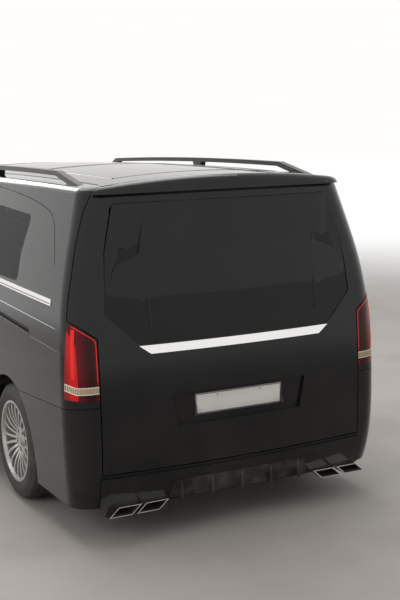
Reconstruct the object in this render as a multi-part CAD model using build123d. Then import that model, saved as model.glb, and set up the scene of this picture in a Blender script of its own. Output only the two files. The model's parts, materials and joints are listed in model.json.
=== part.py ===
from build123d import *
import math
import os

# A long eight-seat minivan on four wheels. +X is forward, +Y is the left side and +Z is up.
# The origin lies on the floor, under the middle of the vehicle. All sizes are in millimetres.

# Wheels and axles
WHEELBASE = 3200
FRONT_AXLE_X = 1675
REAR_AXLE_X = FRONT_AXLE_X - WHEELBASE
FRONT_TRACK = 1666
REAR_TRACK = 1645
TYRE_RADIUS = 339
TYRE_WIDTH = 245
TYRE_SHOULDER = 26
TYRE_TREAD_DROP = 9
RIM_RADIUS = 243
RIM_WIDTH = 226
RIM_BARREL_RADIUS = 219
RIM_WALL = 9
RIM_SEAT_RADIUS = 231
RIM_OFFSET = 45
SPOKE_COUNT = 20
SPOKE_WIDTH = 15
SPOKE_DEPTH = 24
SPOKE_DISH = 28
HUB_PAD_RADIUS = 78
HUB_PAD_THICK = 30
HUB_CAP_RADIUS = 34
LUG_COUNT = 5
LUG_CIRCLE = 56
LUG_HOLE_RADIUS = 13
DISC_RADIUS = 165
DISC_THICK = 26
DISC_BELL_RADIUS = 92
DISC_BELL_WALL = 8
SEAT_GAP = 0.3

# Body envelope
BELLY_Z = 150
WALL = 70
SKIN = 22
ROOF_Z = 1885
ROOF_TOP_X = -1400
ROOF_LONG_RADIUS = 50000
ROOF_CROWN_RADIUS = 5500
EDGE_RADIUS = 45
REAR_CORNER_RADIUS = 130
FRONT_CORNER_RADIUS = 330
REAR_BOW = 70
FRONT_BOW = 150
SIDE_BOW_REAR = 14
SIDE_BOW_FRONT = 60
SIDE_BOW_X = -300
CREST_FLOOR_Z = 850
CREST_SPLIT_Z = 1300
# height, half width, rear end, front end
BODY_SECTIONS = [
    (BELLY_Z, 930, -2490, 2480),
    (400, 956, -2546, 2556),
    (700, 964, -2550, 2570),
    (950, 960, -2541, 2545),
    (1200, 940, -2518, 2480),
    (1500, 876, -2472, 2400),
    (1750, 806, -2420, 2300),
    (2000, 716, -2350, 2200),
]
# height, windscreen on the centre line
CABIN_SECTIONS = [
    (900, 2135),
    (1190, 1722),
    (1500, 1290),
    (1800, 880),
    (2050, 545),
]
WINDSCREEN_RADIUS = 2170
CABIN_HALF = 1100
CABIN_TAIL_X = -3000
BONNET_FRONT = (2455, 985)
BONNET_REAR = (1700, 1192)
BONNET_LONG_RADIUS = 3000
BONNET_CROWN_RADIUS = 3300

# Shut lines
DOOR_GAP = 6
PANEL_GAP = 3
BONNET_GAP = 9
GLASS_GAP = 0.3
GLASS_DEPTH = 4
GLASS_THICK = 5
ARCH_RADIUS = 392
SILL_Z = 250
BUMPER_Z = 190
REACH = 1200
DOOR_BASE_Z = 335
DOOR_TOP_Z = 1752
WINDOW_TOP_Z = 1680
WINDOW_BASE_Z = 1290
A_LINE_X = 1222
DOOR_HINGE = (1205, 930)
DOOR_PIN_RADIUS = 5
DOOR_PIN_LUG = 8
DOOR_PIN_Z = (300, 336, 385)
B_LINE_X = 255
B_LINE_LEAN = 0.28
B_LINE_OVERLAP = 75
C_LINE_X = -1008
DOOR_INNER_Y = 690
# x, z of the corners, seen from the side
FRONT_DOOR = [
    (A_LINE_X, DOOR_BASE_Z), (A_LINE_X, 1318), (675, DOOR_TOP_Z),
    (B_LINE_X + DOOR_GAP / 2, DOOR_TOP_Z), (B_LINE_X + DOOR_GAP / 2, DOOR_BASE_Z),
]
FRONT_WINDOW = [
    (1166, WINDOW_BASE_Z), (678, WINDOW_TOP_Z), (330, WINDOW_TOP_Z), (330, WINDOW_BASE_Z),
]
FRONT_QUARTER = [(1262, 1232), (1262, 1318), (1375, 1232)]
FRONT_QUARTER_CORNER = 14
SLIDING_DOOR = [
    (B_LINE_X + B_LINE_OVERLAP, DOOR_BASE_Z), (B_LINE_X + B_LINE_OVERLAP, DOOR_TOP_Z),
    (C_LINE_X, DOOR_TOP_Z), (C_LINE_X, DOOR_BASE_Z),
]
SLIDING_WINDOW = [
    (178, WINDOW_BASE_Z), (178, WINDOW_TOP_Z), (-948, WINDOW_TOP_Z), (-948, WINDOW_BASE_Z),
]
QUARTER_WINDOW = [
    (-1066, WINDOW_BASE_Z), (-1066, WINDOW_TOP_Z), (-1698, 1656), (-1655, 1450), (-1672, WINDOW_BASE_Z),
]
WING_REAR_X = A_LINE_X + 11.5
WING = [
    (WING_REAR_X, SILL_Z), (WING_REAR_X, 1214), (1560, 1240), (2262, 1060), (2262, 880), (2330, 740),
    (2010, 560), (FRONT_AXLE_X, 560), (FRONT_AXLE_X, SILL_Z),
]
DOOR_CORNER = 40
WINDOW_CORNER = 38
# the slot that the sliding door's roller runs in, behind the door
RUNNER_SLOT = [(-980, 1112), (-980, 1087), (-1909, 1039), (-1909, 1064)]
RUNNER_SLOT_DEPTH = 22
# x, z: the tailgate's edge on the body's corners, and the deeper frame between them
TAILGATE_WRAP = [
    (-2398, 1040), (-2402, 1171), (-2378, 1391), (-2350, 1542), (-2330, 1700), (-2330, 1960),
    (-2800, 1960), (-2800, 1040),
]
TAILGATE_CORE = [(-2250, 300), (-2250, 1700), (-2330, 1790), (-2330, 1960), (-2800, 1960), (-2800, 300)]
# y, z, seen from behind, left half
TAILGATE_WRAP_HALF = [(785, 1084), (952, 1203), (1100, 1203), (1100, 1960)]
TAILGATE_CORE_HALF = [(785, 375), (785, 1190), (748, 1510), (668, 1790), (668, 1960)]
REAR_WINDOW_HALF = [(572, 1035), (742, 1200), (716, 1510), (652, 1750)]
REAR_LAMP = [(792, 765), (1100, 790), (1100, 1197), (958, 1197), (792, 1078)]
REAR_LAMP_CORNER = 16
REAR_LAMP_FRONT_X = -2405
REAR_BUMPER_TOP = [(-1600, 676), (-2390, 724), (-2700, 742)]
REAR_BUMPER_FRONT_X = -1700
ROOF_HALF = 668
ROOF_REAR_X = -2322
ROOF_FRONT_X = 1000
PLATE_WIDTH = 520
PLATE_HEIGHT = 110
PLATE_THICK = 3
PLATE_Z = 684
PLATE_BACK_X = -2520
PLATE_POCKET_HALF = [(372, 588), (408, 762)]
SPOILER = [(-2352, 1960), (-2600, 1960), (-2600, 1812), (-2400, 1796), (-2352, 1796)]
SPOILER_HALF = 900
SPOILER_REACH = 38
BUMPER_STEP = 16
BUMPER_STEP_Z = 352
TAILPIPE_HALF = 65
TAILPIPE_HEIGHT = 50
TAILPIPE_LEAN = 57
TAILPIPE_Y = (540, 695)
TAILPIPE_Z = 165
TAILPIPE_LENGTH = 90
TAILPIPE_WALL = 4

# Front end
HEADLAMP = [(548, 742), (548, 884), (905, 975), (1100, 985), (1100, 790), (830, 722)]
HEADLAMP_CORNER = 25
HEADLAMP_REAR_X = 2258
GRILLE_HALF = [(455, 690), (520, 770), (520, 884), (0, 900)]
INTAKE_HALF = [(520, 300), (600, 395), (560, 470), (0, 480)]
SIDE_INTAKE = [(660, 330), (860, 360), (850, 520), (700, 470)]
BONNET_FRONT_HALF = 640
BONNET_FRONT_X = (2385, 2462)
BONNET_SIDE = [(2200, 757), (1745, 775)]
BONNET_REAR_X = 1790
COWL_X = (1600, 1850)
COWL_HALF = 775
WINDSCREEN_HALF = [(0, 1198), (420, 1178), (836, 1102), (702, 1770), (0, 1806)]
WINDSCREEN_BACK_X = 620

# Structure under the cabin
FLOOR_Z = 430
FLOOR_THICK = 60
FLOOR_REAR_X = -2385
FIREWALL_X = 1226
FIREWALL_THICK = 12
FIREWALL_TOP = 1080
FRONT_LINER_RADIUS = 425
REAR_LINER_RADIUS = 402
LINER_WALL = 8
FRONT_LINER_INNER = 500
REAR_LINER_INNER = 640
RAIL_WIDTH = 70
RAIL_HEIGHT = 90
RAIL_Y = 462
CRASH_BEAM_X = 2330
CRASH_BEAM_THICK = 60
CRASH_BEAM_Z = (440, 560)
STRIKER_HALF = 45
STRIKER_Z = (395, 425)
BOSS_Y = (380, 460)
BOSS_Z = (492, 548)
BUFFER_X = (2370, 2450)
BUFFER_Y = (475, 515)
RAIL_LOW_Z = 400
LINER_OUTER_Y = 884
SILL_INNER_Y = 790
SILL_OUTER_Y = 925
SILL_FLANGE = 8
LINER_LOW_Z = FLOOR_Z - FLOOR_THICK

# Grilles and bright strips
GRILLE_FRAME = 16
GRILLE_DEPTH = 34
GRILLE_BACK = 8
GRILLE_SLATS = 3
GRILLE_FIRST_Z = 742
GRILLE_PITCH = 48
GRILLE_SLAT = 20
INTAKE_DEPTH = 26
TRIM_THICK = 4
BELT_TOP_Z = 1284
BELT_HEIGHT = 34
BELT_FALL = 0.02
BELT_FRONT_X = A_LINE_X - 4
BELT_REAR_X = -2205
TRIM_LOW_Z = 984
TRIM_HIGH_Z = 1029
TRIM_HALF_LOW = 510
TRIM_HALF_HIGH = 572

# Roof rails and mirrors
RAIL_FRONT_X = 690
RAIL_MID_X = -760
RAIL_REAR_X = -2150
RAIL_RISE = 62
RAIL_BAR = 26
RAIL_THICK = 38
RAIL_SIDE_Y = 706
MIRROR_CENTRE = (1130, 1046, 1296)
MIRROR_SIZE = (120, 210, 200)
MIRROR_SWEEP = -12
MIRROR_ROUND = 38

# Suspension and steering
RUNNING_GAP = 5
PIN_GAP = 0.5
KINGPIN_LOW = (775, 205)
KINGPIN_HIGH = (600, 850)
KNUCKLE_LOW_Z = 232
BALL_PIN_RADIUS = 10
BALL_PIN_TOP_Z = 262
STRUT_RADIUS = 27
STRUT_LOW_Z = 430
STRUT_TOP_Z = 660
ROD_RADIUS = 11
ROD_LOW_Z = 560
ROD_TOP_Z = 776
HUB_BORE_RADIUS = 30
HUB_FLANGE_RADIUS = 72
HUB_FLANGE_THICK = 12
HUB_BODY_RADIUS = 52
HUB_REACH = 60
CALIPER_RADIUS = 196
DISC_BELL_DEPTH = 34
SUBFRAME_LOW_Z = 215
SUBFRAME_HIGH_Z = 285
SUBFRAME_HALF = 494
ARM_Z = 210
ARM_THICK = 26
RACK_HALF = 460
REAR_BEAM_LOW_Z = 300
AXLE_POST_Y = (505, 565)
# how far from the axle the arm passes the rim's edge
ARM_ENTRY = 170
DIFFERENTIAL_RADIUS = 74
FLOOR_SKIN = 10
PIPE_RADIUS = 29

# Cabin
SEAT_BASE = 225
SEAT_LENGTH = 500
SEAT_THICK = 150
SEAT_BACK = 690
HEADREST_HALF = 130
STEERING_Y = 390
STEERING_RAKE = 0.42
# row name, x of the hip point, places across, width of one seat
SEAT_ROWS = [
    ("front", 300, (-390, 390), 520),
    ("middle", -700, (-520, 0, 520), 470),
    ("rear", -1640, (-405, 0, 405), 395),
]


STEERING_PLANE = Plane(
    origin=(980, STEERING_Y, 1010), x_dir=(0, 1, 0), z_dir=(-math.cos(STEERING_RAKE), 0, math.sin(STEERING_RAKE))
)


def face_of(points, radius=0):
    """A flat face from corner points, all corners rounded alike."""
    if radius:
        return make_face(FilletPolyline(*points, radius=radius, close=True))
    return make_face(Polyline(*points, close=True))


def both_halves(half):
    """The corner points of a half outline, with their mirror images across the centre line."""
    return half + [(-y, z) for y, z in reversed(half) if y]


def side_prism(face, low, high):
    """Extrude a face of x and z between two values of y."""
    placed = Plane.XZ.offset(-high) * face
    return extrude(placed, amount=high - low, dir=(0, -1, 0))


def front_prism(face, low, high):
    """Extrude a face of y and z between two values of x."""
    placed = Plane.YZ.offset(low) * face
    return extrude(placed, amount=high - low, dir=(1, 0, 0))


def top_prism(face, low, high):
    """Extrude a face of x and y between two heights."""
    placed = Plane.XY.offset(low) * face
    return extrude(placed, amount=high - low, dir=(0, 0, 1))


def grown(face, gap):
    """The same outline, moved out by a clearance."""
    if gap == 0:
        return face
    return offset(face, amount=gap)


def block(x, y, z):
    """A box from three pairs of limits."""
    centre = ((x[0] + x[1]) / 2, (y[0] + y[1]) / 2, (z[0] + z[1]) / 2)
    return Pos(*centre) * Box(x[1] - x[0], y[1] - y[0], z[1] - z[0])


def cross_bar(x, z, radius, low, high):
    """A round bar along Y."""
    return Pos(x, (low + high) / 2, z) * Rot(90, 0, 0) * Cylinder(radius, high - low)


def mirrored(shape):
    """The same piece on the other side of the vehicle."""
    return mirror(shape, about=Plane.XZ)


def on_both_sides(shape):
    """The piece and its mirror image, as two solids of one node."""
    return shape.solids() + mirrored(shape).solids()


def body_outline(row, inset):
    """A horizontal section of the body: bowed ends and sides with round corners."""
    height, half, rear, front = row
    half = half - inset
    rear = rear + inset
    front = front - inset
    rear_corner = (rear + REAR_BOW, half - SIDE_BOW_REAR)
    front_corner = (front - FRONT_BOW, half - SIDE_BOW_FRONT)
    with BuildSketch(Plane.XY.offset(height)) as sketch:
        with BuildLine():
            ThreePointArc((rear_corner[0], -rear_corner[1]), (rear, 0), rear_corner)
            ThreePointArc(rear_corner, (SIDE_BOW_X, half), front_corner)
            ThreePointArc(front_corner, (front, 0), (front_corner[0], -front_corner[1]))
            ThreePointArc((front_corner[0], -front_corner[1]), (SIDE_BOW_X, -half), (rear_corner[0], -rear_corner[1]))
        make_face()
        fillet(sketch.vertices().sort_by(Axis.X)[:2], REAR_CORNER_RADIUS - inset)
        fillet(sketch.vertices().sort_by(Axis.X)[-2:], FRONT_CORNER_RADIUS - inset)
    return sketch.sketch.faces()[0]


def body_loft(inset):
    """Sides, nose and tail as one loft."""
    return loft([body_outline(row, inset) for row in BODY_SECTIONS])


def cabin_loft(inset):
    """A block whose front face is the raked, curved windscreen."""
    faces = []
    for height, front in CABIN_SECTIONS:
        nose = front - inset
        drop = WINDSCREEN_RADIUS - math.sqrt(WINDSCREEN_RADIUS**2 - CABIN_HALF**2)
        with BuildSketch(Plane.XY.offset(height)) as sketch:
            with BuildLine():
                ThreePointArc((nose - drop, -CABIN_HALF), (nose, 0), (nose - drop, CABIN_HALF))
                Polyline((nose - drop, CABIN_HALF), (CABIN_TAIL_X, CABIN_HALF), (CABIN_TAIL_X, -CABIN_HALF),
                         (nose - drop, -CABIN_HALF))
            make_face()
        faces.append(sketch.sketch.faces()[0])
    base = block((CABIN_TAIL_X, CABIN_SECTIONS[0][1]), (-CABIN_HALF, CABIN_HALF), (0, CABIN_SECTIONS[0][0]))
    return loft(faces) + base


def barrel(top_x, top_z, long_radius, crown_radius, centre_x, sweep):
    """A wide block under a surface that is curved along and across the vehicle."""
    half = REACH
    drop = crown_radius - math.sqrt(crown_radius**2 - half**2)
    depth = 2500
    with BuildSketch(Plane.YZ) as sketch:
        with BuildLine():
            ThreePointArc((-half, top_z - drop), (0, top_z), (half, top_z - drop))
            Polyline((half, top_z - drop), (half, top_z - depth), (-half, top_z - depth), (-half, top_z - drop))
        make_face()
    face = Pos(top_x, 0, 0) * sketch.sketch.faces()[0]
    axis = Axis((centre_x, 0, top_z - long_radius), (0, 1, 0))
    return revolve(face, axis, sweep) + revolve(face, axis, -sweep)


def roof_block(inset):
    """Everything below the roof's outer surface."""
    return barrel(ROOF_TOP_X, ROOF_Z - inset, ROOF_LONG_RADIUS, ROOF_CROWN_RADIUS, ROOF_TOP_X, 9)


def bonnet_block(inset):
    """Everything below the bonnet's outer surface."""
    run = BONNET_FRONT[0] - BONNET_REAR[0]
    rise = BONNET_FRONT[1] - BONNET_REAR[1]
    chord = math.hypot(run, rise)
    depth = math.sqrt(BONNET_LONG_RADIUS**2 - (chord / 2) ** 2)
    centre_x = (BONNET_FRONT[0] + BONNET_REAR[0]) / 2 + depth * rise / chord
    centre_z = (BONNET_FRONT[1] + BONNET_REAR[1]) / 2 - depth * run / chord
    top_z = centre_z + BONNET_LONG_RADIUS - inset
    return barrel(centre_x, top_z, BONNET_LONG_RADIUS - inset, BONNET_CROWN_RADIUS, centre_x, 48)


def envelope(inset):
    """The vehicle's closed outer form, moved in by an inset."""
    upper = cabin_loft(inset) & roof_block(inset)
    return body_loft(inset) & (upper + bonnet_block(inset))


def crest_edges(form, low, high):
    """The long convex edges of the form whose ends lie above one height and reach past another."""
    edges = []
    for edge in form.edges():
        box = edge.bounding_box()
        centre = box.center()
        across_windscreen = abs(centre.Y) < 1 and 600 < centre.X < 1900
        if box.min.Z > CREST_FLOOR_Z and low < box.max.Z < high and not across_windscreen:
            edges.append(edge)
    return edges


def rounded_cabin(form, radius):
    """The form with its roof edges and windscreen pillars rounded."""
    return form.fillet(radius, crest_edges(form, CREST_SPLIT_Z, ROOF_Z))


def rounded_nose(form, radius):
    """The form with the edges of its bonnet and nose rounded."""
    return form.fillet(radius, crest_edges(form, CREST_FLOOR_Z, CREST_SPLIT_Z))


def shifted(x, y, z):
    """The outer form, moved a little, to cut a thin skin from it."""
    return Pos(x, y, z) * CABIN_FORM


def door_zone(corners, gap):
    """The space of one side door, through the whole wall."""
    return side_prism(grown(face_of(corners, DOOR_CORNER), gap), DOOR_INNER_Y, REACH)


def ahead_of_b_line(gap):
    """All space in front of the leaning joint between the two side doors."""
    inner_x = B_LINE_X + B_LINE_LEAN * (REACH - DOOR_INNER_Y) + gap
    half = (DOOR_INNER_Y, REACH)
    lean = B_LINE_LEAN * (REACH - BODY_SECTIONS[2][1])
    corners = [(B_LINE_X - lean + gap, half[1]), (inner_x - lean, half[0]), (2000, half[0]), (2000, half[1])]
    return top_prism(face_of(corners), 0, 2100)


def window_zone(corners, radius, gap):
    """The space of one side window."""
    return side_prism(grown(face_of(corners, radius), gap), ROOF_HALF - 100, REACH)


def wing_zone(gap):
    """The space of one front wing, outside the bonnet."""
    return side_prism(grown(face_of(WING), gap), 560, REACH)


def bonnet_zone(gap):
    """The space above the engine that opens with the bonnet."""
    front = (BONNET_FRONT_X[0], BONNET_FRONT_HALF)
    rear = BONNET_SIDE[-1]
    with BuildSketch() as sketch:
        with BuildLine():
            ThreePointArc((front[0], -front[1]), (BONNET_FRONT_X[1], 0), front)
            Polyline(front, *BONNET_SIDE)
            ThreePointArc(rear, (BONNET_REAR_X, 0), (rear[0], -rear[1]))
            Polyline((rear[0], -rear[1]), *[(x, -y) for x, y in BONNET_SIDE[-2::-1]], (front[0], -front[1]))
        make_face()
    return top_prism(grown(sketch.sketch.faces()[0], gap), 800, 1400)


def windscreen_zone(gap):
    """The space of the windscreen's opening."""
    return front_prism(grown(face_of(both_halves(WINDSCREEN_HALF), WINDOW_CORNER), gap), WINDSCREEN_BACK_X, 2000)


def cowl_zone(gap):
    """The space of the dark panel between the bonnet and the windscreen."""
    return block((COWL_X[0] - gap, COWL_X[1] + gap), (-COWL_HALF - gap, COWL_HALF + gap), (1000, 1260))


def tailgate_zone(gap):
    """The tailgate's space: its core, and the edges that wrap round the body's corners."""
    core = front_prism(grown(face_of(both_halves(TAILGATE_CORE_HALF)), gap), -2800, -2200)
    core = core & side_prism(grown(face_of(TAILGATE_CORE), gap), -REACH, REACH)
    wrap = front_prism(grown(face_of(both_halves(TAILGATE_WRAP_HALF)), gap), -2800, -2200)
    wrap = wrap & side_prism(grown(face_of(TAILGATE_WRAP), gap), -REACH, REACH)
    return core + wrap


def rear_window_zone(gap):
    """The space of the rear window's opening."""
    return front_prism(grown(face_of(both_halves(REAR_WINDOW_HALF), WINDOW_CORNER), gap), -2800, -2300)


def rear_lamp_zone(gap):
    """The space of the left tail lamp."""
    return front_prism(grown(face_of(REAR_LAMP, REAR_LAMP_CORNER), gap), -2800, REAR_LAMP_FRONT_X + gap)


def rear_bumper_zone(gap):
    """The space of the rear bumper, below the lamps and the tailgate."""
    low = BUMPER_Z - 100
    corners = [(REAR_BUMPER_TOP[0][0], low)] + REAR_BUMPER_TOP + [(REAR_BUMPER_TOP[-1][0], low)]
    return side_prism(grown(face_of(corners), gap), -REACH, REACH)


def roof_zone(gap):
    """The space of the roof panel, between the channels beside the rails."""
    return block((ROOF_REAR_X - gap, ROOF_FRONT_X), (-ROOF_HALF - gap, ROOF_HALF + gap), (1700, 2000))


def headlamp_zone(gap):
    """The space of the left headlamp."""
    return front_prism(grown(face_of(HEADLAMP, HEADLAMP_CORNER), gap), HEADLAMP_REAR_X - gap, 2800)


def arch_cut(axle_x):
    """The round cut of both wheel arches on one axle."""
    return cross_bar(axle_x, TYRE_RADIUS, ARCH_RADIUS, -REACH, REACH)


# The outer form and its inner wall, which every panel shares
SHARP_FORM = envelope(0)
CABIN_FORM = rounded_cabin(SHARP_FORM, EDGE_RADIUS)
NOSE_FORM = rounded_nose(SHARP_FORM, EDGE_RADIUS)
INNER = rounded_cabin(envelope(WALL), EDGE_RADIUS / 2)
SHELL = CABIN_FORM - INNER
NOSE_SHELL = (NOSE_FORM & block((1000, 3000), (-REACH, REACH), (0, 2500))) - INNER
LEFT_SHELL = SHELL & block((-3000, 3000), (0, REACH), (0, 2500))
TAIL_SHELL = SHELL & block((-3000, REAR_AXLE_X), (-REACH, REACH), (0, 900))
TAIL_FORM = CABIN_FORM & block((-3000, -2300), (-REACH, REACH), (0, 500))
NOSE_END = NOSE_FORM & block((2200, 3000), (-700, 700), (200, 1100))
CABIN_SPACE = (Pos(0, DOOR_GAP, 0) * INNER) & (Pos(0, -DOOR_GAP, 0) * INNER)
LEFT_FIT = (Pos(0, -SEAT_GAP, 0) * INNER) & block((-3000, 2200), (400, REACH), (0, 900))
ARCHES = arch_cut(FRONT_AXLE_X) + arch_cut(REAR_AXLE_X)


def biggest(shape):
    """The largest solid of a cut, without its slivers."""
    return max(shape.solids(), key=lambda solid: solid.volume)


def hinge_pin(radius, low, high):
    """A round bar on the left front door's hinge axis."""
    return Pos(*DOOR_HINGE, (low + high) / 2) * Cylinder(radius, high - low)


def front_door():
    """The left front door, as thick as the wall, with its window cut."""
    door = LEFT_SHELL & door_zone(FRONT_DOOR, 0) & ahead_of_b_line(DOOR_GAP / 2)
    door = door & block((0, 1400), (DOOR_INNER_Y + DOOR_GAP, REACH), (0, 2100))
    bore = hinge_pin(DOOR_PIN_RADIUS + SEAT_GAP, DOOR_BASE_Z, DOOR_PIN_Z[2] + 1)
    return biggest(door - window_zone(FRONT_WINDOW, WINDOW_CORNER, 0) - bore)


def sliding_door():
    """The left sliding door, with its window cut."""
    door = (LEFT_SHELL & door_zone(SLIDING_DOOR, 0)) - ahead_of_b_line(-DOOR_GAP / 2)
    return biggest(door - window_zone(SLIDING_WINDOW, WINDOW_CORNER, 0))


def side_pane(corners, radius):
    """One side window's glass, almost flush with the outside."""
    skin = shifted(0, -GLASS_DEPTH, 0) & window_zone(corners, radius, -GLASS_GAP)
    return biggest(skin - shifted(0, -GLASS_DEPTH - GLASS_THICK, 0))


def side_frame():
    """The left body side around the doors: sill, pillars, roof edge and rear quarter."""
    side = LEFT_SHELL & block((-2700, 1700), (ROOF_HALF - 60, REACH), (SILL_Z, 2100))
    zones = [
        door_zone(FRONT_DOOR, DOOR_GAP),
        door_zone(SLIDING_DOOR, DOOR_GAP),
        wing_zone(PANEL_GAP),
        cowl_zone(PANEL_GAP),
        windscreen_zone(0),
        tailgate_zone(DOOR_GAP),
        rear_lamp_zone(SEAT_GAP),
        rear_bumper_zone(PANEL_GAP),
        roof_zone(PANEL_GAP),
        window_zone(QUARTER_WINDOW, WINDOW_CORNER, 0),
        window_zone(FRONT_QUARTER, FRONT_QUARTER_CORNER, 0),
        ARCHES,
    ]
    runner_slot = side_prism(face_of(RUNNER_SLOT), 600, REACH) - shifted(0, -RUNNER_SLOT_DEPTH, 0)
    low, middle, high = DOOR_PIN_Z
    pin = hinge_pin(DOOR_PIN_LUG, low, middle) + hinge_pin(DOOR_PIN_RADIUS, low, high)
    return biggest((side - zones - runner_slot) + pin)


def wing():
    """The left front wing."""
    form = NOSE_SHELL & wing_zone(0)
    zones = [bonnet_zone(BONNET_GAP), cowl_zone(PANEL_GAP), windscreen_zone(0), headlamp_zone(PANEL_GAP), ARCHES]
    return biggest(form - zones)


def roof_panel():
    """The roof panel from the windscreen to the tailgate."""
    form = SHELL & roof_zone(0)
    return biggest(form - windscreen_zone(0) - tailgate_zone(DOOR_GAP))


def under_bonnet(gap):
    """All space below the underside of the bonnet's skin."""
    return Pos(-SKIN / 3, 0, -SKIN - gap) * NOSE_FORM


def bonnet():
    """The bonnet skin."""
    skin = NOSE_FORM & bonnet_zone(0)
    return biggest(skin - under_bonnet(0))


def cowl():
    """The dark panel at the foot of the windscreen."""
    form = NOSE_SHELL & cowl_zone(0)
    return biggest(form - bonnet_zone(BONNET_GAP) - windscreen_zone(0))


def windscreen():
    """The windscreen's pane, almost flush with its frame."""
    skin = shifted(-GLASS_DEPTH, 0, -GLASS_DEPTH) & windscreen_zone(-GLASS_GAP)
    return biggest(skin - shifted(-GLASS_DEPTH - GLASS_THICK, 0, -GLASS_DEPTH - GLASS_THICK))


def tailgate():
    """The tailgate with its window, its plate recess and its spoiler."""
    gate = SHELL & tailgate_zone(0)
    gate = biggest(gate - rear_window_zone(0))
    pocket = front_prism(face_of(both_halves(PLATE_POCKET_HALF), 12), -2800, PLATE_BACK_X)
    spoiler = shifted(-SPOILER_REACH, 0, 0) & side_prism(face_of(SPOILER), -SPOILER_HALF, SPOILER_HALF)
    return biggest(gate - pocket + spoiler)


def tailgate_glass():
    """The rear window's pane."""
    skin = shifted(GLASS_DEPTH, 0, 0) & rear_window_zone(-GLASS_GAP)
    return biggest(skin - shifted(GLASS_DEPTH + GLASS_THICK, 0, 0))


def number_plate():
    """The blank rear plate on the floor of its recess."""
    back = PLATE_BACK_X - SEAT_GAP
    half = (PLATE_WIDTH / 2, PLATE_HEIGHT / 2)
    return block((back - PLATE_THICK, back), (-half[0], half[0]), (PLATE_Z - half[1], PLATE_Z + half[1]))


def tailpipe_outline(inner_y, inset):
    """The leaning four-sided outline of one tailpipe, on the left."""
    low = TAILPIPE_Z + inset
    high = TAILPIPE_Z + TAILPIPE_HEIGHT - inset
    lean = TAILPIPE_LEAN * (high - low) / TAILPIPE_HEIGHT
    left = inner_y - TAILPIPE_HALF + inset * 1.6
    right = inner_y + TAILPIPE_HALF - inset * 1.6
    shift = lean / 2
    return [(left + shift, low), (right + shift, low), (right - shift, high), (left - shift, high)]


def rear_bumper():
    """The rear bumper: side corners, a step under the tailgate and the cut-outs for the tailpipes."""
    form = (TAIL_SHELL & rear_bumper_zone(0)) - ARCHES
    form = form & block((-2700, REAR_BUMPER_FRONT_X), (-REACH, REACH), (BUMPER_Z, 800))
    form = form - tailgate_zone(DOOR_GAP)
    for lamp in (rear_lamp_zone(PANEL_GAP), mirrored(rear_lamp_zone(PANEL_GAP))):
        form = form - lamp
    lip = Pos(-BUMPER_STEP, 0, 0) * TAIL_FORM & block((-2700, -2420), (-800, 800), (BUMPER_Z, BUMPER_STEP_Z))
    form = form + (lip - TAIL_FORM)
    for centre in TAILPIPE_Y:
        hole = front_prism(face_of(tailpipe_outline(centre, -SEAT_GAP)), -2800, -2300)
        form = form - hole - mirrored(hole)
    return biggest(form)


def tail_lamps():
    """Both tail lamps, each a block round the body's corner."""
    return on_both_sides(biggest(LEFT_SHELL & rear_lamp_zone(0)))


def headlamps():
    """Both headlamps, each a block round the body's corner."""
    return on_both_sides(biggest((NOSE_SHELL & headlamp_zone(0)) - bonnet_zone(BONNET_GAP)))


def front_bumper():
    """The front bumper with its air intakes."""
    form = NOSE_SHELL & block((FRONT_AXLE_X, 2700), (-REACH, REACH), (BUMPER_Z, 1100))
    form = form - ARCHES
    for zone in (
        wing_zone(PANEL_GAP),
        mirrored(wing_zone(PANEL_GAP)),
        headlamp_zone(SEAT_GAP),
        mirrored(headlamp_zone(SEAT_GAP)),
        bonnet_zone(BONNET_GAP),
    ):
        form = form - zone
    boss = block((CRASH_BEAM_X + CRASH_BEAM_THICK + SEAT_GAP, 2490), BOSS_Y, BOSS_Z)
    buffer = block(BUFFER_X, BUFFER_Y, (905, 1050)) & under_bonnet(SEAT_GAP)
    form = form + boss + mirrored(boss) + buffer + mirrored(buffer)
    grille_hole = front_prism(face_of(both_halves(GRILLE_HALF), 20), 2200, 2700)
    intake = front_prism(face_of(both_halves(INTAKE_HALF), 20), 2200, 2700)
    side_intake = front_prism(face_of(SIDE_INTAKE, 20), 2200, 2700)
    form = form - grille_hole - intake - side_intake - mirrored(side_intake)
    return biggest(form)


def grille():
    """The main grille: a frame and slats that follow the nose, with thin uprights behind them."""
    outline = face_of(both_halves(GRILLE_HALF), 20)
    opening = front_prism(grown(outline, -SEAT_GAP), 2200, 2700)
    frame = opening - front_prism(grown(outline, -GRILLE_FRAME), 2200, 2700)
    layer = NOSE_END - Pos(-GRILLE_DEPTH, 0, 0) * NOSE_END
    bars = frame
    for row in range(GRILLE_SLATS):
        low = GRILLE_FIRST_Z + row * GRILLE_PITCH
        bars = bars + block((2200, 2700), (-600, 600), (low, low + GRILLE_SLAT))
    form = (layer & opening) & bars
    backing = (Pos(-GRILLE_DEPTH, 0, 0) * NOSE_END) - (Pos(-GRILLE_DEPTH - GRILLE_BACK, 0, 0) * NOSE_END)
    return biggest(form + (backing & opening))


def intake_grille():
    """The lower intake's grid, across the bumper's opening."""
    outline = face_of(both_halves(INTAKE_HALF), 20)
    opening = front_prism(grown(outline, -SEAT_GAP), 2200, 2700)
    outer = Pos(-INTAKE_DEPTH, 0, 0) * NOSE_END
    layer = (outer - Pos(-INTAKE_DEPTH - GRILLE_BACK, 0, 0) * NOSE_END) & opening
    return biggest(layer)


def proud_strip(zone, x, y):
    """A thin strip that stands proud of the outer form, inside a zone."""
    scale = SEAT_GAP / TRIM_THICK
    return biggest((shifted(x, y, 0) & zone) - shifted(x * scale, y * scale, 0))


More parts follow.
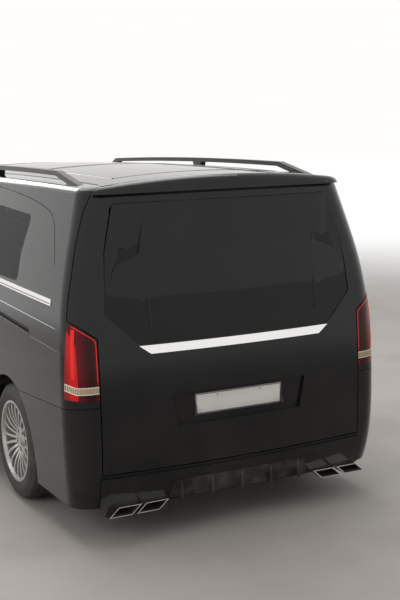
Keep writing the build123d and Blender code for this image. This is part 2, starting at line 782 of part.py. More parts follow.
def belt_zone(front_x, rear_x, fall=0):
    """The space of the bright strip below the side windows, between two places."""
    rear_z = BELT_TOP_Z - fall * (front_x - rear_x)
    corners = [
        (front_x, BELT_TOP_Z - BELT_HEIGHT), (front_x, BELT_TOP_Z),
        (rear_x, rear_z), (rear_x, rear_z - BELT_HEIGHT),
    ]
    return side_prism(face_of(corners), 600, REACH)


def tailgate_trim():
    """The bright strip under the rear window."""
    corners = [(-TRIM_HALF_LOW, TRIM_LOW_Z), (-TRIM_HALF_HIGH, TRIM_HIGH_Z), (TRIM_HALF_HIGH, TRIM_HIGH_Z),
               (TRIM_HALF_LOW, TRIM_LOW_Z)]
    return proud_strip(front_prism(face_of(corners), -2800, -2300), -TRIM_THICK, 0)


def roof_rail():
    """The left roof rail: a bar that follows the roof, standing on three feet, with a sloping rear foot."""
    top = [RAIL_FRONT_X - 60, RAIL_REAR_X + 330]
    under = RAIL_RISE - RAIL_BAR
    rear_gap = [RAIL_REAR_X + 350, RAIL_MID_X - 60]
    front_gap = [RAIL_MID_X + 60, RAIL_FRONT_X - 110]

    def rail_point(x, rise):
        return (x, roof_edge_z(x) + rise)

    def rail_arc(ends, rise):
        middle = sum(ends) / 2
        return ThreePointArc(rail_point(ends[0], rise), rail_point(middle, rise), rail_point(ends[1], rise))

    with BuildSketch() as sketch:
        with BuildLine():
            rail_arc(top, RAIL_RISE)
            Polyline(rail_point(top[1], RAIL_RISE), rail_point(RAIL_REAR_X, 0), rail_point(RAIL_REAR_X + 170, 0),
                     rail_point(rear_gap[0], under))
            rail_arc(rear_gap, under)
            Polyline(rail_point(rear_gap[1], under), rail_point(RAIL_MID_X - 45, 0),
                     rail_point(RAIL_MID_X + 45, 0), rail_point(front_gap[0], under))
            rail_arc(front_gap, under)
            Polyline(rail_point(front_gap[1], under), rail_point(RAIL_FRONT_X - 30, 0),
                     rail_point(RAIL_FRONT_X + 90, 0), rail_point(top[0], RAIL_RISE))
        make_face()
    bar = side_prism(sketch.sketch.faces()[0], RAIL_SIDE_Y - RAIL_THICK / 2, RAIL_SIDE_Y + RAIL_THICK / 2)
    return biggest(bar - shifted(0, 0, SEAT_GAP))


def roof_edge_z(x):
    """Height just inside the roof's surface beside its edge."""
    along = (x - ROOF_TOP_X) ** 2 / (2 * ROOF_LONG_RADIUS)
    across = RAIL_SIDE_Y**2 / (2 * ROOF_CROWN_RADIUS)
    return ROOF_Z - along - across - 3


def mirror_housing():
    """The left door mirror on its foot, standing off the door below the window."""
    shell = Pos(*MIRROR_CENTRE) * Rot(0, 0, MIRROR_SWEEP) * Box(*MIRROR_SIZE)
    shell = fillet(shell.edges(), MIRROR_ROUND)
    x, y, z = MIRROR_CENTRE
    foot = block((x - 45, x + 45), (700, y - 60), (z - MIRROR_SIZE[2] / 2 + 8, z - MIRROR_SIZE[2] / 2 + 48))
    return biggest((shell + foot) - shifted(0, SEAT_GAP, 0))


def tyre(centre_x, centre_y):
    """One road tyre, a ring with sloped shoulders round the rim's bead seats."""
    half = TYRE_WIDTH / 2
    bead = RIM_WIDTH / 2 - RIM_WALL - SEAT_GAP
    corners = [
        (-half + TYRE_SHOULDER, TYRE_RADIUS), (half - TYRE_SHOULDER, TYRE_RADIUS),
        (half, TYRE_RADIUS - TYRE_SHOULDER - TYRE_TREAD_DROP), (bead, RIM_RADIUS + SEAT_GAP),
        (bead, RIM_SEAT_RADIUS + SEAT_GAP), (-bead, RIM_SEAT_RADIUS + SEAT_GAP),
        (-bead, RIM_RADIUS + SEAT_GAP), (-half, TYRE_RADIUS - TYRE_SHOULDER - TYRE_TREAD_DROP),
    ]
    return ring(corners, centre_x, centre_y)


def ring(corners, centre_x, centre_y):
    """Turn a section of (distance along the axle, radius) about an axle."""
    face = Plane.YZ * face_of(corners)
    body = revolve(face, Axis((0, 0, 0), (0, 1, 0)), 360)
    return Pos(centre_x, centre_y, TYRE_RADIUS) * body


def spoke():
    """One narrow spoke from the hub to the barrel, dished towards the hub."""
    reach = RIM_BARREL_RADIUS + RIM_WALL / 2
    outer_y = RIM_WIDTH / 2 - 14
    hub_y = RIM_OFFSET + HUB_PAD_THICK - 6
    inner = Plane((0, hub_y - SPOKE_DEPTH / 2, HUB_PAD_RADIUS - 14), x_dir=(1, 0, 0), z_dir=(0, 0, 1))
    outer = Plane((0, outer_y - SPOKE_DEPTH / 2 - 6, reach), x_dir=(1, 0, 0), z_dir=(0, 0, 1))
    middle_radius = (HUB_PAD_RADIUS + reach) / 2
    middle = Plane((0, outer_y - SPOKE_DEPTH / 2, middle_radius), x_dir=(1, 0, 0), z_dir=(0, 0, 1))
    sections = [
        inner * Rectangle(SPOKE_WIDTH + 3, SPOKE_DEPTH),
        middle * Rectangle(SPOKE_WIDTH, SPOKE_DEPTH),
        outer * Rectangle(SPOKE_WIDTH + 4, SPOKE_DEPTH + 8),
    ]
    return loft(sections)


def rim():
    """One light-alloy wheel at the origin: barrel with drop centre and flanges, hub pad with lug holes, and its spokes."""
    half = RIM_WIDTH / 2
    outer = [
        (-half, RIM_RADIUS), (-half + RIM_WALL, RIM_RADIUS), (-half + RIM_WALL, RIM_SEAT_RADIUS),
        (half - RIM_WALL, RIM_SEAT_RADIUS), (half - RIM_WALL, RIM_RADIUS), (half, RIM_RADIUS),
        (half, RIM_BARREL_RADIUS + 4), (half - 20, RIM_BARREL_RADIUS), (-half, RIM_BARREL_RADIUS),
    ]
    face = Plane.YZ * face_of(outer)
    wheel = revolve(face, Axis((0, 0, 0), (0, 1, 0)), 360)
    wheel = wheel + cross_bar(0, 0, HUB_PAD_RADIUS, RIM_OFFSET, RIM_OFFSET + HUB_PAD_THICK)
    one = spoke()
    spokes = [Rot(0, index * 360 / SPOKE_COUNT, 0) * one for index in range(SPOKE_COUNT)]
    wheel = wheel + spokes
    holes = []
    for index in range(LUG_COUNT):
        angle = 2 * math.pi * (index + 0.5) / LUG_COUNT
        x = LUG_CIRCLE * math.sin(angle)
        z = LUG_CIRCLE * math.cos(angle)
        holes.append(cross_bar(x, z, LUG_HOLE_RADIUS, RIM_OFFSET + 12, RIM_OFFSET + HUB_PAD_THICK + 30))
    return biggest(wheel - holes)


def brake_disc(centre_x, centre_y):
    """The brake disc with its bell, which seats on the back of the hub pad."""
    face_y = RIM_OFFSET - SEAT_GAP
    rotor_y = face_y - DISC_BELL_DEPTH
    corners = [
        (face_y - DISC_BELL_WALL, HUB_BORE_RADIUS), (face_y, HUB_BORE_RADIUS), (face_y, DISC_BELL_RADIUS),
        (rotor_y, DISC_BELL_RADIUS), (rotor_y, DISC_RADIUS), (rotor_y - DISC_THICK, DISC_RADIUS),
        (rotor_y - DISC_THICK, DISC_BELL_RADIUS - DISC_BELL_WALL),
        (face_y - DISC_BELL_WALL, DISC_BELL_RADIUS - DISC_BELL_WALL),
    ]
    return ring(corners, centre_x, centre_y)


def wheel_on_left(alloy, centre_x, centre_y):
    """The rim and its brake disc, as the two solids of one wheel node."""
    return [Pos(centre_x, centre_y, TYRE_RADIUS) * alloy, biggest(brake_disc(centre_x, centre_y))]


def hub_and_caliper(centre_x, centre_y, caliper_side):
    """The hub flange behind the disc and the brake caliper over its edge."""
    flange_y = centre_y + RIM_OFFSET - SEAT_GAP - DISC_BELL_WALL - SEAT_GAP
    hub = cross_bar(centre_x, TYRE_RADIUS, HUB_FLANGE_RADIUS, flange_y - HUB_FLANGE_THICK, flange_y)
    inner_y = centre_y - HUB_REACH
    hub = hub + cross_bar(centre_x, TYRE_RADIUS, HUB_BODY_RADIUS, inner_y, flange_y - HUB_FLANGE_THICK + 1)
    disc_y = centre_y + RIM_OFFSET - SEAT_GAP - DISC_BELL_DEPTH
    x = centre_x + caliper_side * (DISC_RADIUS - 28)
    clear = RUNNING_GAP
    body = block((x - 42, x + 42), (disc_y - DISC_THICK - 34, disc_y + 24), (TYRE_RADIUS - 88, TYRE_RADIUS + 88))
    slot = cross_bar(centre_x, TYRE_RADIUS, DISC_RADIUS + clear, disc_y - DISC_THICK - clear, disc_y + clear)
    inside = cross_bar(centre_x, TYRE_RADIUS, CALIPER_RADIUS, disc_y - 200, disc_y + 200)
    bell = cross_bar(centre_x, TYRE_RADIUS, DISC_BELL_RADIUS + clear, disc_y - 200, disc_y + 200)
    caliper = (body & inside) - slot - bell
    arm_low = (centre_x, x) if caliper_side > 0 else (x, centre_x)
    bracket = block(arm_low, (inner_y, disc_y - DISC_THICK - 8), (TYRE_RADIUS - 24, TYRE_RADIUS + 24))
    return hub + bracket + caliper


def kingpin_point(height):
    """The place of the left steering axis at a height: y and z."""
    share = (height - KINGPIN_LOW[1]) / (KINGPIN_HIGH[1] - KINGPIN_LOW[1])
    return KINGPIN_LOW[0] + share * (KINGPIN_HIGH[0] - KINGPIN_LOW[0])


def along_kingpin(radius, low, high):
    """A round bar along the left steering axis between two heights."""
    start = Vector(FRONT_AXLE_X, kingpin_point(low), low)
    end = Vector(FRONT_AXLE_X, kingpin_point(high), high)
    middle = (start + end) * 0.5
    direction = end - start
    plane = Plane(origin=middle, x_dir=(1, 0, 0), z_dir=direction)
    return plane * Cylinder(radius, direction.length)


def knuckle():
    """The left steering knuckle with hub, caliper and the lower half of its spring strut."""
    centre_y = FRONT_TRACK / 2
    form = hub_and_caliper(FRONT_AXLE_X, centre_y, -1)
    low_y = kingpin_point(KNUCKLE_LOW_Z)
    strut_y = kingpin_point(STRUT_LOW_Z)
    corners = [
        (low_y - 26, KNUCKLE_LOW_Z), (low_y + 26, KNUCKLE_LOW_Z), (centre_y - 20, TYRE_RADIUS - 60),
        (centre_y - 20, TYRE_RADIUS + 60), (strut_y + 18, STRUT_LOW_Z + 40), (strut_y - 18, STRUT_LOW_Z + 40),
        (centre_y - HUB_REACH, TYRE_RADIUS),
    ]
    upright = front_prism(face_of(corners), FRONT_AXLE_X - 34, FRONT_AXLE_X + 34)
    form = form + upright + along_kingpin(STRUT_RADIUS, STRUT_LOW_Z, STRUT_TOP_Z)
    form = form - along_kingpin(ROD_RADIUS + PIN_GAP, ROD_LOW_Z - 10, STRUT_TOP_Z + 20)
    form = form - along_kingpin(BALL_PIN_RADIUS + PIN_GAP, KNUCKLE_LOW_Z - 20, BALL_PIN_TOP_Z + 2)
    return biggest(form)


def front_subframe():
    """The front crossmember with both lower arms, their ball pins and the steering rack."""
    x = FRONT_AXLE_X
    beam = block((x - 120, x + 120), (-SUBFRAME_HALF, SUBFRAME_HALF), (SUBFRAME_LOW_Z, SUBFRAME_HIGH_Z))
    rack = cross_bar(x - 165, SUBFRAME_HIGH_Z + 30, 24, -RACK_HALF, RACK_HALF)
    mounts = block((x - 190, x - 120), (-200, -140), (SUBFRAME_LOW_Z + 10, SUBFRAME_HIGH_Z + 30))
    form = beam + rack + mounts + mirrored(mounts)
    ball_y = kingpin_point(ARM_Z)
    arm = [(x - 190, 400), (x + 130, 400), (x + 34, ball_y - 60), (x + 24, ball_y + 26), (x - 24, ball_y + 26),
           (x - 34, ball_y - 60)]
    plate = top_prism(face_of(arm), ARM_Z - ARM_THICK / 2, ARM_Z + ARM_THICK / 2)
    pin = along_kingpin(BALL_PIN_RADIUS, ARM_Z, BALL_PIN_TOP_Z)
    side = plate + pin
    post_y = (SUBFRAME_HALF - 62, SUBFRAME_HALF)
    post = block((x - 110, x - 40), post_y, (SUBFRAME_HIGH_Z - 5, RAIL_LOW_Z - SEAT_GAP))
    post = post + block((x + 40, x + 110), post_y, (SUBFRAME_HIGH_Z - 5, RAIL_LOW_Z - SEAT_GAP))
    form = form + side + mirrored(side) + post + mirrored(post)
    return biggest(form)


def rear_axle():
    """The rear subframe with semi-trailing arms, differential, drive shafts, hubs and calipers."""
    x = REAR_AXLE_X
    centre_y = REAR_TRACK / 2
    beam = block((x - 70, x + 70), (-520, 520), (REAR_BEAM_LOW_Z, REAR_BEAM_LOW_Z + 70))
    case = cross_bar(x, TYRE_RADIUS, DIFFERENTIAL_RADIUS, -120, 120)
    case = case + block((x, x + 260), (-60, 60), (TYRE_RADIUS - 60, TYRE_RADIUS + 50))
    shaft = cross_bar(x, TYRE_RADIUS, 17, -centre_y + HUB_REACH, centre_y - HUB_REACH)
    hub = hub_and_caliper(x, centre_y, 1)
    rim_y = centre_y - RIM_WIDTH / 2 - 2 * RUNNING_GAP
    arm = [(x + 480, 560), (x + 480, 640), (x + 230, rim_y), (x + ARM_ENTRY, rim_y), (x + 60, centre_y - 60),
           (x - 60, centre_y - 60), (x - 60, centre_y - HUB_REACH - 40), (x + 60, 560)]
    plate = top_prism(face_of(arm), TYRE_RADIUS - 70, TYRE_RADIUS - 20)
    carrier = block((x - 50, x + 50), (centre_y - HUB_REACH - 40, centre_y - 50), (TYRE_RADIUS - 60, TYRE_RADIUS + 60))
    seat = block((x + 60, x + 420), (500, 570), (REAR_BEAM_LOW_Z, REAR_BEAM_LOW_Z + 60))
    post = block((x + 100, x + 160), AXLE_POST_Y, (REAR_BEAM_LOW_Z + 55, FLOOR_Z - FLOOR_SKIN - SEAT_GAP))
    joint = block((x - 70, x + 60), (500, 600), (REAR_BEAM_LOW_Z, REAR_BEAM_LOW_Z + 60))
    side = hub + plate + carrier + seat + joint + post
    return biggest(beam + case + shaft + side + mirrored(side))


def wheel_liner(axle_x, radius, inner_y):
    """A half-round tub over the left wheel, closed on its inner side."""
    outer = cross_bar(axle_x, TYRE_RADIUS, radius + LINER_WALL, inner_y, LINER_OUTER_Y)
    hollow = cross_bar(axle_x, TYRE_RADIUS, radius, inner_y + LINER_WALL, REACH)
    upper = block((axle_x - 600, axle_x + 600), (0, REACH), (LINER_LOW_Z, 1100))
    return (outer - hollow) & upper


def floor_pan():
    """The floor with sills, rails, wheel tubs, firewall and front beam, as one welded body."""
    low = FLOOR_Z - FLOOR_THICK
    form = block((FLOOR_REAR_X, FIREWALL_X), (-REACH, REACH), (low, FLOOR_Z))
    form = form + block((FIREWALL_X, FIREWALL_X + FIREWALL_THICK), (-REACH, REACH), (low, FIREWALL_TOP))
    form = form & CABIN_SPACE
    sill_x = (C_LINE_X - 80, FIREWALL_X)
    sill = block(sill_x, (SILL_INNER_Y, SILL_INNER_Y + 40), (SILL_Z - SILL_FLANGE - SEAT_GAP, low + 5))
    sill = sill + block(sill_x, (SILL_INNER_Y, SILL_OUTER_Y), (SILL_Z - SILL_FLANGE - SEAT_GAP, SILL_Z - SEAT_GAP))
    rail_y = (RAIL_Y - RAIL_WIDTH / 2, RAIL_Y + RAIL_WIDTH / 2)
    rail = block((FLOOR_REAR_X, FIREWALL_X + 40), rail_y, (low - 60, low + 5))
    rail = rail + block((FIREWALL_X, CRASH_BEAM_X + 5), rail_y, (RAIL_LOW_Z, RAIL_LOW_Z + RAIL_HEIGHT))
    front_tub = wheel_liner(FRONT_AXLE_X, FRONT_LINER_RADIUS, FRONT_LINER_INNER) & LEFT_FIT
    rear_tub = wheel_liner(REAR_AXLE_X, REAR_LINER_RADIUS, REAR_LINER_INNER) & LEFT_FIT
    rear_cut = cross_bar(REAR_AXLE_X, TYRE_RADIUS, REAR_LINER_RADIUS, REAR_LINER_INNER + LINER_WALL, REACH)
    front_cut = cross_bar(FRONT_AXLE_X, TYRE_RADIUS, FRONT_LINER_RADIUS, FRONT_LINER_INNER + LINER_WALL, REACH)
    rod = along_kingpin(ROD_RADIUS, ROD_LOW_Z, ROD_TOP_Z)
    side = [sill, rail, front_tub, rear_tub]
    form = form + side + [mirrored(piece) for piece in side]
    form = form - [rear_cut, mirrored(rear_cut), front_cut, mirrored(front_cut)]
    beam = block((CRASH_BEAM_X, CRASH_BEAM_X + CRASH_BEAM_THICK), (-600, 600), CRASH_BEAM_Z)
    striker = block((-2520, FLOOR_REAR_X + 5), (-STRIKER_HALF, STRIKER_HALF), STRIKER_Z)
    striker = striker & Pos(SEAT_GAP, 0, 0) * INNER
    form = form + [rod, mirrored(rod), beam, striker]
    tunnel = block((-1150, FIREWALL_X), (-130, 130), (low - 1, FLOOR_Z - 14))
    axle_room = block((REAR_AXLE_X - 120, REAR_AXLE_X + 300), (-620, 620), (low - 100, FLOOR_Z - FLOOR_SKIN))
    return biggest(form - [tunnel, axle_room])


def seat(centre_x, centre_y, width):
    """One padded seat: cushion, backrest and headrest in one, facing forward."""
    cushion = [(-40, 0), (SEAT_LENGTH, 0), (SEAT_LENGTH, SEAT_THICK), (0, SEAT_THICK - 20)]
    back = [(-70, 20), (60, SEAT_THICK - 30), (-60, SEAT_BACK), (-170, SEAT_BACK), (-180, 300)]
    head = [(-110, SEAT_BACK + 30), (-60, SEAT_BACK + 30), (-80, SEAT_BACK + 190), (-160, SEAT_BACK + 190),
            (-180, SEAT_BACK + 40)]
    stem = [(-150, SEAT_BACK - 10), (-110, SEAT_BACK - 10), (-116, SEAT_BACK + 60), (-156, SEAT_BACK + 60)]
    half = width / 2
    form = side_prism(face_of(cushion, 14), -half, half)
    form = form + side_prism(face_of(back, 14), -half + 15, half - 15)
    form = form + side_prism(face_of(head, 12), -HEADREST_HALF, HEADREST_HALF)
    form = form + side_prism(face_of(stem), -45, 45)
    return biggest(Pos(centre_x, centre_y, FLOOR_Z + SEAT_BASE) * form)


def seat_base(centre_x, centre_y):
    """The pedestal that carries one seat."""
    form = block((40, SEAT_LENGTH - 60), (-170, 170), (0, SEAT_BASE - SEAT_GAP))
    slot = block((70, SEAT_LENGTH - 90), (-200, 200), (25, SEAT_BASE - 50))
    return Pos(centre_x, centre_y, FLOOR_Z + SEAT_GAP) * (form - slot)


def dashboard():
    """The dashboard across the cabin, with the hood over the dials and the centre console."""
    corners = [(1200, 745), (1085, 800), (1060, 960), (1130, 1065), (1330, 1095), (1470, 1130), (1470, 745)]
    form = side_prism(face_of(corners, 20), -REACH, REACH)
    hood = [(1045, 960), (1060, 1110), (1240, 1125), (1240, 960)]
    form = form + side_prism(face_of(hood, 14), STEERING_Y - 190, STEERING_Y + 190)
    console = [(1110, 560), (1040, 800), (1085, 985), (1200, 985), (1200, 560)]
    form = form + side_prism(face_of(console, 14), -150, 150)
    tub = cross_bar(FRONT_AXLE_X, TYRE_RADIUS, FRONT_LINER_RADIUS + LINER_WALL + 2, 400, REACH)
    wall_x = (FIREWALL_X - SEAT_GAP, FIREWALL_X + FIREWALL_THICK + SEAT_GAP)
    wall = block(wall_x, (-REACH, REACH), (600, FIREWALL_TOP + SEAT_GAP))
    return biggest((form & CABIN_SPACE) - tub - mirrored(tub) - wall - steering_column(SEAT_GAP))


def steering_column(gap):
    """The round column behind the steering wheel, or the bore around it."""
    return STEERING_PLANE * (Pos(0, 0, -50) * Cylinder(24 + gap, 90 + 2 * gap))


def steering_wheel():
    """The steering wheel on its column, which enters the dashboard."""
    plane = STEERING_PLANE
    rim_ring = plane * Torus(185, 15)
    hub = plane * Cylinder(52, 44)
    form = rim_ring + hub
    for angle in (0, 180, 270):
        arm = plane * (Rot(0, 0, angle) * Pos(110, 0, 0) * Box(160, 34, 16))
        form = form + arm
    return biggest(form + steering_column(0))


def engine_block():
    """The engine, one plain block on two feet between the front rails."""
    form = block((1490, 2060), (-290, 290), (SUBFRAME_HIGH_Z + 70, 900))
    foot = block((1640, 1720), (200, RAIL_Y - RAIL_WIDTH / 2 - SEAT_GAP), (480, 540))
    return biggest(form + foot + mirrored(foot))


def exhaust_system():
    """The exhaust: pipe from the engine, middle silencer, rear silencer and its two outlets."""
    route = [(1430, 150, 345), (1200, 150, 292), (300, 80, 292), (-900, 80, 292), (-1150, 250, 250),
             (-1800, 250, 250), (-2080, 120, 290)]
    path = FilletPolyline(*route, radius=80)
    start = Plane(origin=route[0], z_dir=path % 0)
    form = sweep(start * Circle(PIPE_RADIUS), path=path)
    middle = Pos(300, 80, 292) * Rot(0, 90, 0) * Cylinder(70, 520)
    form = form + (middle & block((0, 600), (-100, 260), (222, 330)))
    rear = fillet(block((-2330, -2060), (-420, 420), (240, 340)).edges(), 30)
    hanger = block((-2250, -2200), (400, RAIL_Y - RAIL_WIDTH / 2 - SEAT_GAP), (312, 332))
    return biggest(form + rear + hanger + mirrored(hanger))


def tailpipes():
    """The four leaning, open tailpipe trims in the bumper."""
    solids = []
    for centre in TAILPIPE_Y:
        outer = front_prism(face_of(tailpipe_outline(centre, 0)), -2562, -2562 + TAILPIPE_LENGTH)
        inner = front_prism(face_of(tailpipe_outline(centre, TAILPIPE_WALL)), -2600, -2562 + TAILPIPE_LENGTH - 8)
        solids.extend(on_both_sides(biggest(outer - inner)))
    return solids


def write(name, *shapes):
    """Write one node, with all its solids, to its own file."""
    solids = []
    for shape in shapes:
        if isinstance(shape, list):
            solids.extend(shape)
        else:
            solids.extend(shape.solids())
    export_step(Compound(solids) if len(solids) > 1 else solids[0], f"parts/{name}.step")


def write_pair(name, shape):
    """Write a left piece and its mirror image as two nodes."""
    write(f"{name}_left", shape)
    if isinstance(shape, list):
        write(f"{name}_right", [mirrored(one).solids()[0] for one in shape])
    else:
        write(f"{name}_right", mirrored(shape))


os.makedirs("parts", exist_ok=True)
write("floor_pan", floor_pan())
write("side_frames", on_both_sides(side_frame()))
write_pair("front_door", front_door())
write_pair("front_door_glass", side_pane(FRONT_WINDOW, WINDOW_CORNER))
write("sliding_doors", on_both_sides(sliding_door()))
write("front_quarter_glass", on_both_sides(side_pane(FRONT_QUARTER, FRONT_QUARTER_CORNER)))
sliding_panes = on_both_sides(side_pane(SLIDING_WINDOW, WINDOW_CORNER))
quarter_panes = on_both_sides(side_pane(QUARTER_WINDOW, WINDOW_CORNER))
write("rear_side_glass", sliding_panes + quarter_panes)
write("front_wings", on_both_sides(wing()))
write("bonnet", bonnet())
write("cowl_panel", cowl())
write("windscreen", windscreen())
write("roof_panel", roof_panel())
write("roof_rails", on_both_sides(roof_rail()))
write("front_bumper", front_bumper())
write("grille", grille())
write("intake_grille", intake_grille())
write("headlamps", headlamps())
write("rear_bumper", rear_bumper())
write("tail_lamps", tail_lamps())
write("tailgate", tailgate())
write("tailgate_glass", tailgate_glass())
write("tailgate_trim", tailgate_trim())
write("number_plate", number_plate())
belt_rear = proud_strip(belt_zone(C_LINE_X - DOOR_GAP, BELT_REAR_X, BELT_FALL), 0, TRIM_THICK)
belt_middle = proud_strip(belt_zone(B_LINE_X - DOOR_GAP, C_LINE_X), 0, TRIM_THICK)
write("belt_trim", on_both_sides(belt_rear) + on_both_sides(belt_middle))
write_pair("front_door_trim", proud_strip(belt_zone(BELT_FRONT_X, B_LINE_X + DOOR_GAP), 0, TRIM_THICK))
write_pair("door_mirror", mirror_housing())
write_pair("knuckle", knuckle())
write("front_subframe", front_subframe())
write("rear_axle", rear_axle())
ALLOY = rim()
for end, axle_x, track in (("front", FRONT_AXLE_X, FRONT_TRACK), ("rear", REAR_AXLE_X, REAR_TRACK)):
    write_pair(f"{end}_wheel", wheel_on_left(ALLOY, axle_x, track / 2))
    write_pair(f"{end}_tyre", tyre(axle_x, track / 2))
write("engine_block", engine_block())
write("exhaust_system", exhaust_system())
write("tailpipes", tailpipes())
write("dashboard", dashboard())
write("steering_wheel", steering_wheel())
for row, seat_x, places, width in SEAT_ROWS:
    write(f"{row}_seats", [seat(seat_x, y, width) for y in places])
write("seat_bases", [seat_base(seat_x, y) for row, seat_x, places, width in SEAT_ROWS for y in places])
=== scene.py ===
"""Looks of a long black minivan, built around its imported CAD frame."""
import json
import logging
import math
from collections.abc import Callable, Iterator, Sequence
from contextlib import contextmanager
from dataclasses import dataclass, field
from enum import Enum

import bpy
from mathutils import Matrix, Vector


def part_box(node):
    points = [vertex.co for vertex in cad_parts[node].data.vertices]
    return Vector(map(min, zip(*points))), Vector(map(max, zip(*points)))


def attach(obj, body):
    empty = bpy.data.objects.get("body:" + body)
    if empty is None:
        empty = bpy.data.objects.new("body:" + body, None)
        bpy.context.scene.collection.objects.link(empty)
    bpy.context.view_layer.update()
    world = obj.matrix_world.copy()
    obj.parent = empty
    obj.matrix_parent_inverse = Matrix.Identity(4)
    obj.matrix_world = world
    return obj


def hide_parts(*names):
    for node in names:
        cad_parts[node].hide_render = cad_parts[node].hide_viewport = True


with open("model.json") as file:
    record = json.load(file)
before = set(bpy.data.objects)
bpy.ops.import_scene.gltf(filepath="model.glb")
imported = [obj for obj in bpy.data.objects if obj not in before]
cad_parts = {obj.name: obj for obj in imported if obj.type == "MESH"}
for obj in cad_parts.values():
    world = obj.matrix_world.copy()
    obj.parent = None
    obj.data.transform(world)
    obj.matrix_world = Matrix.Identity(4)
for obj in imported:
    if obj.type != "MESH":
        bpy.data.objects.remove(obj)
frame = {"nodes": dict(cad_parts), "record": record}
LOG = logging.getLogger("minivan")
WHEEL_HEIGHT = 0.339

Colour = tuple[float, float, float]
Point = tuple[float, float]
Place = tuple[float, float, float]


class Side(Enum):
    """A side of the vehicle, with the sign of its Y."""

    LEFT = 1
    RIGHT = -1

    @property
    def word(self) -> str:
        """The side's name as the CAD bodies use it."""
        return self.name.lower()


class Axle(Enum):
    """An axle, with its X and half its track, in metres."""

    FRONT = (1.675, 0.833)
    REAR = (-1.525, 0.8225)

    @property
    def word(self) -> str:
        """The axle's name as the CAD bodies use it."""
        return self.name.lower()


# Steps at the modelling bench


def clear_selection() -> None:
    """Leave edit mode and deselect every object."""
    if bpy.context.object and bpy.context.object.mode != "OBJECT":
        bpy.ops.object.mode_set(mode="OBJECT")
    bpy.ops.object.select_all(action="DESELECT")


def pick(*pieces: bpy.types.Object) -> None:
    """Select these pieces only, and make the first one active."""
    clear_selection()
    for piece in pieces:
        piece.select_set(True)
    bpy.context.view_layer.objects.active = pieces[0]


def settle(piece: bpy.types.Object) -> bpy.types.Object:
    """Bring a piece's place, turn and size into its mesh."""
    pick(piece)
    bpy.ops.object.transform_apply(location=True, rotation=True, scale=True)
    return piece


def newest(name: str) -> bpy.types.Object:
    """Name the primitive that was just added, and settle it."""
    piece = bpy.context.object
    piece.name = name
    piece.data.name = name
    return settle(piece)


@contextmanager
def editing(piece: bpy.types.Object, test: Callable[[Vector, Vector], bool] | None = None) -> Iterator[None]:
    """Edit a piece with all its faces selected, or those that pass a test.

    Args:
        piece: the piece to edit.
        test: takes a face's centre and normal, and says whether it is selected.
    """
    pick(piece)
    for face in piece.data.polygons:
        face.select = test is None or test(face.center, face.normal)
    for edge in piece.data.edges:
        edge.select = False
    for vertex in piece.data.vertices:
        vertex.select = False
    for face in piece.data.polygons:
        if face.select:
            for index in face.vertices:
                piece.data.vertices[index].select = True
    bpy.ops.object.mode_set(mode="EDIT")
    bpy.ops.mesh.select_mode(type="FACE")
    yield
    bpy.ops.object.mode_set(mode="OBJECT")


def finish_with(piece: bpy.types.Object, kind: str, **values: object) -> bpy.types.Object:
    """Add a modifier with these values and apply it."""
    pick(piece)
    modifier = piece.modifiers.new(kind.title(), kind)
    for key, value in values.items():
        setattr(modifier, key, value)
    bpy.ops.object.modifier_apply(modifier=modifier.name)
    return piece


def rounded_edges(piece: bpy.types.Object, width: float, segments: int = 2) -> bpy.types.Object:
    """Bevel a piece's sharp edges."""
    return finish_with(piece, "BEVEL", width=width, segments=segments, limit_method="ANGLE", angle_limit=0.6)


def smooth(piece: bpy.types.Object, angle: float = 0.6) -> bpy.types.Object:
    """Shade a piece smooth, apart from edges sharper than an angle."""
    pick(piece)
    bpy.ops.object.shade_smooth_by_angle(angle=angle)
    return piece


def face_out(piece: bpy.types.Object) -> bpy.types.Object:
    """Merge a closed piece's doubles and turn its faces outwards."""
    pick(piece)
    bpy.ops.object.mode_set(mode="EDIT")
    bpy.ops.mesh.select_all(action="SELECT")
    bpy.ops.mesh.remove_doubles(threshold=0.00002)
    bpy.ops.mesh.normals_make_consistent(inside=False)
    bpy.ops.object.mode_set(mode="OBJECT")
    return piece


def joined(name: str, pieces: Sequence[bpy.types.Object]) -> bpy.types.Object:
    """Join pieces into one."""
    pick(*pieces)
    if len(pieces) > 1:
        bpy.ops.object.join()
    piece = bpy.context.object
    piece.name = name
    piece.data.name = name
    return piece


def box(name: str, low: Place, high: Place, bevel: float = 0.0) -> bpy.types.Object:
    """A block between two corners, with rounded edges."""
    clear_selection()
    centre = [(a + b) / 2 for a, b in zip(low, high)]
    bpy.ops.mesh.primitive_cube_add(size=1, location=centre)
    bpy.context.object.scale = [b - a for a, b in zip(low, high)]
    piece = newest(name)
    return rounded_edges(piece, bevel, 3) if bevel else piece


def drum(name: str, centre: Place, axis: Place, radius: float, depth: float, sides: int = 32) -> bpy.types.Object:
    """A round block along an axis."""
    clear_selection()
    bpy.ops.mesh.primitive_cylinder_add(vertices=sides, radius=radius, depth=depth, location=centre)
    bpy.context.object.rotation_euler = Vector(axis).to_track_quat("Z", "Y").to_euler()
    return newest(name)


def sheet_of(name: str, corners: Sequence[Place]) -> bpy.types.Object:
    """A flat face through these corners, which run anticlockwise seen from outside."""
    clear_selection()
    bpy.ops.mesh.primitive_circle_add(vertices=len(corners), radius=1, fill_type="NGON")
    piece = newest(name)
    for vertex, corner in zip(piece.data.vertices, corners):
        vertex.co = corner
    return piece


def loop_of(name: str, corners: Sequence[Place]) -> bpy.types.Object:
    """A closed line of edges through these corners."""
    clear_selection()
    bpy.ops.mesh.primitive_circle_add(vertices=len(corners), radius=1, fill_type="NOTHING")
    piece = newest(name)
    for vertex, corner in zip(piece.data.vertices, corners):
        vertex.co = corner
    return piece


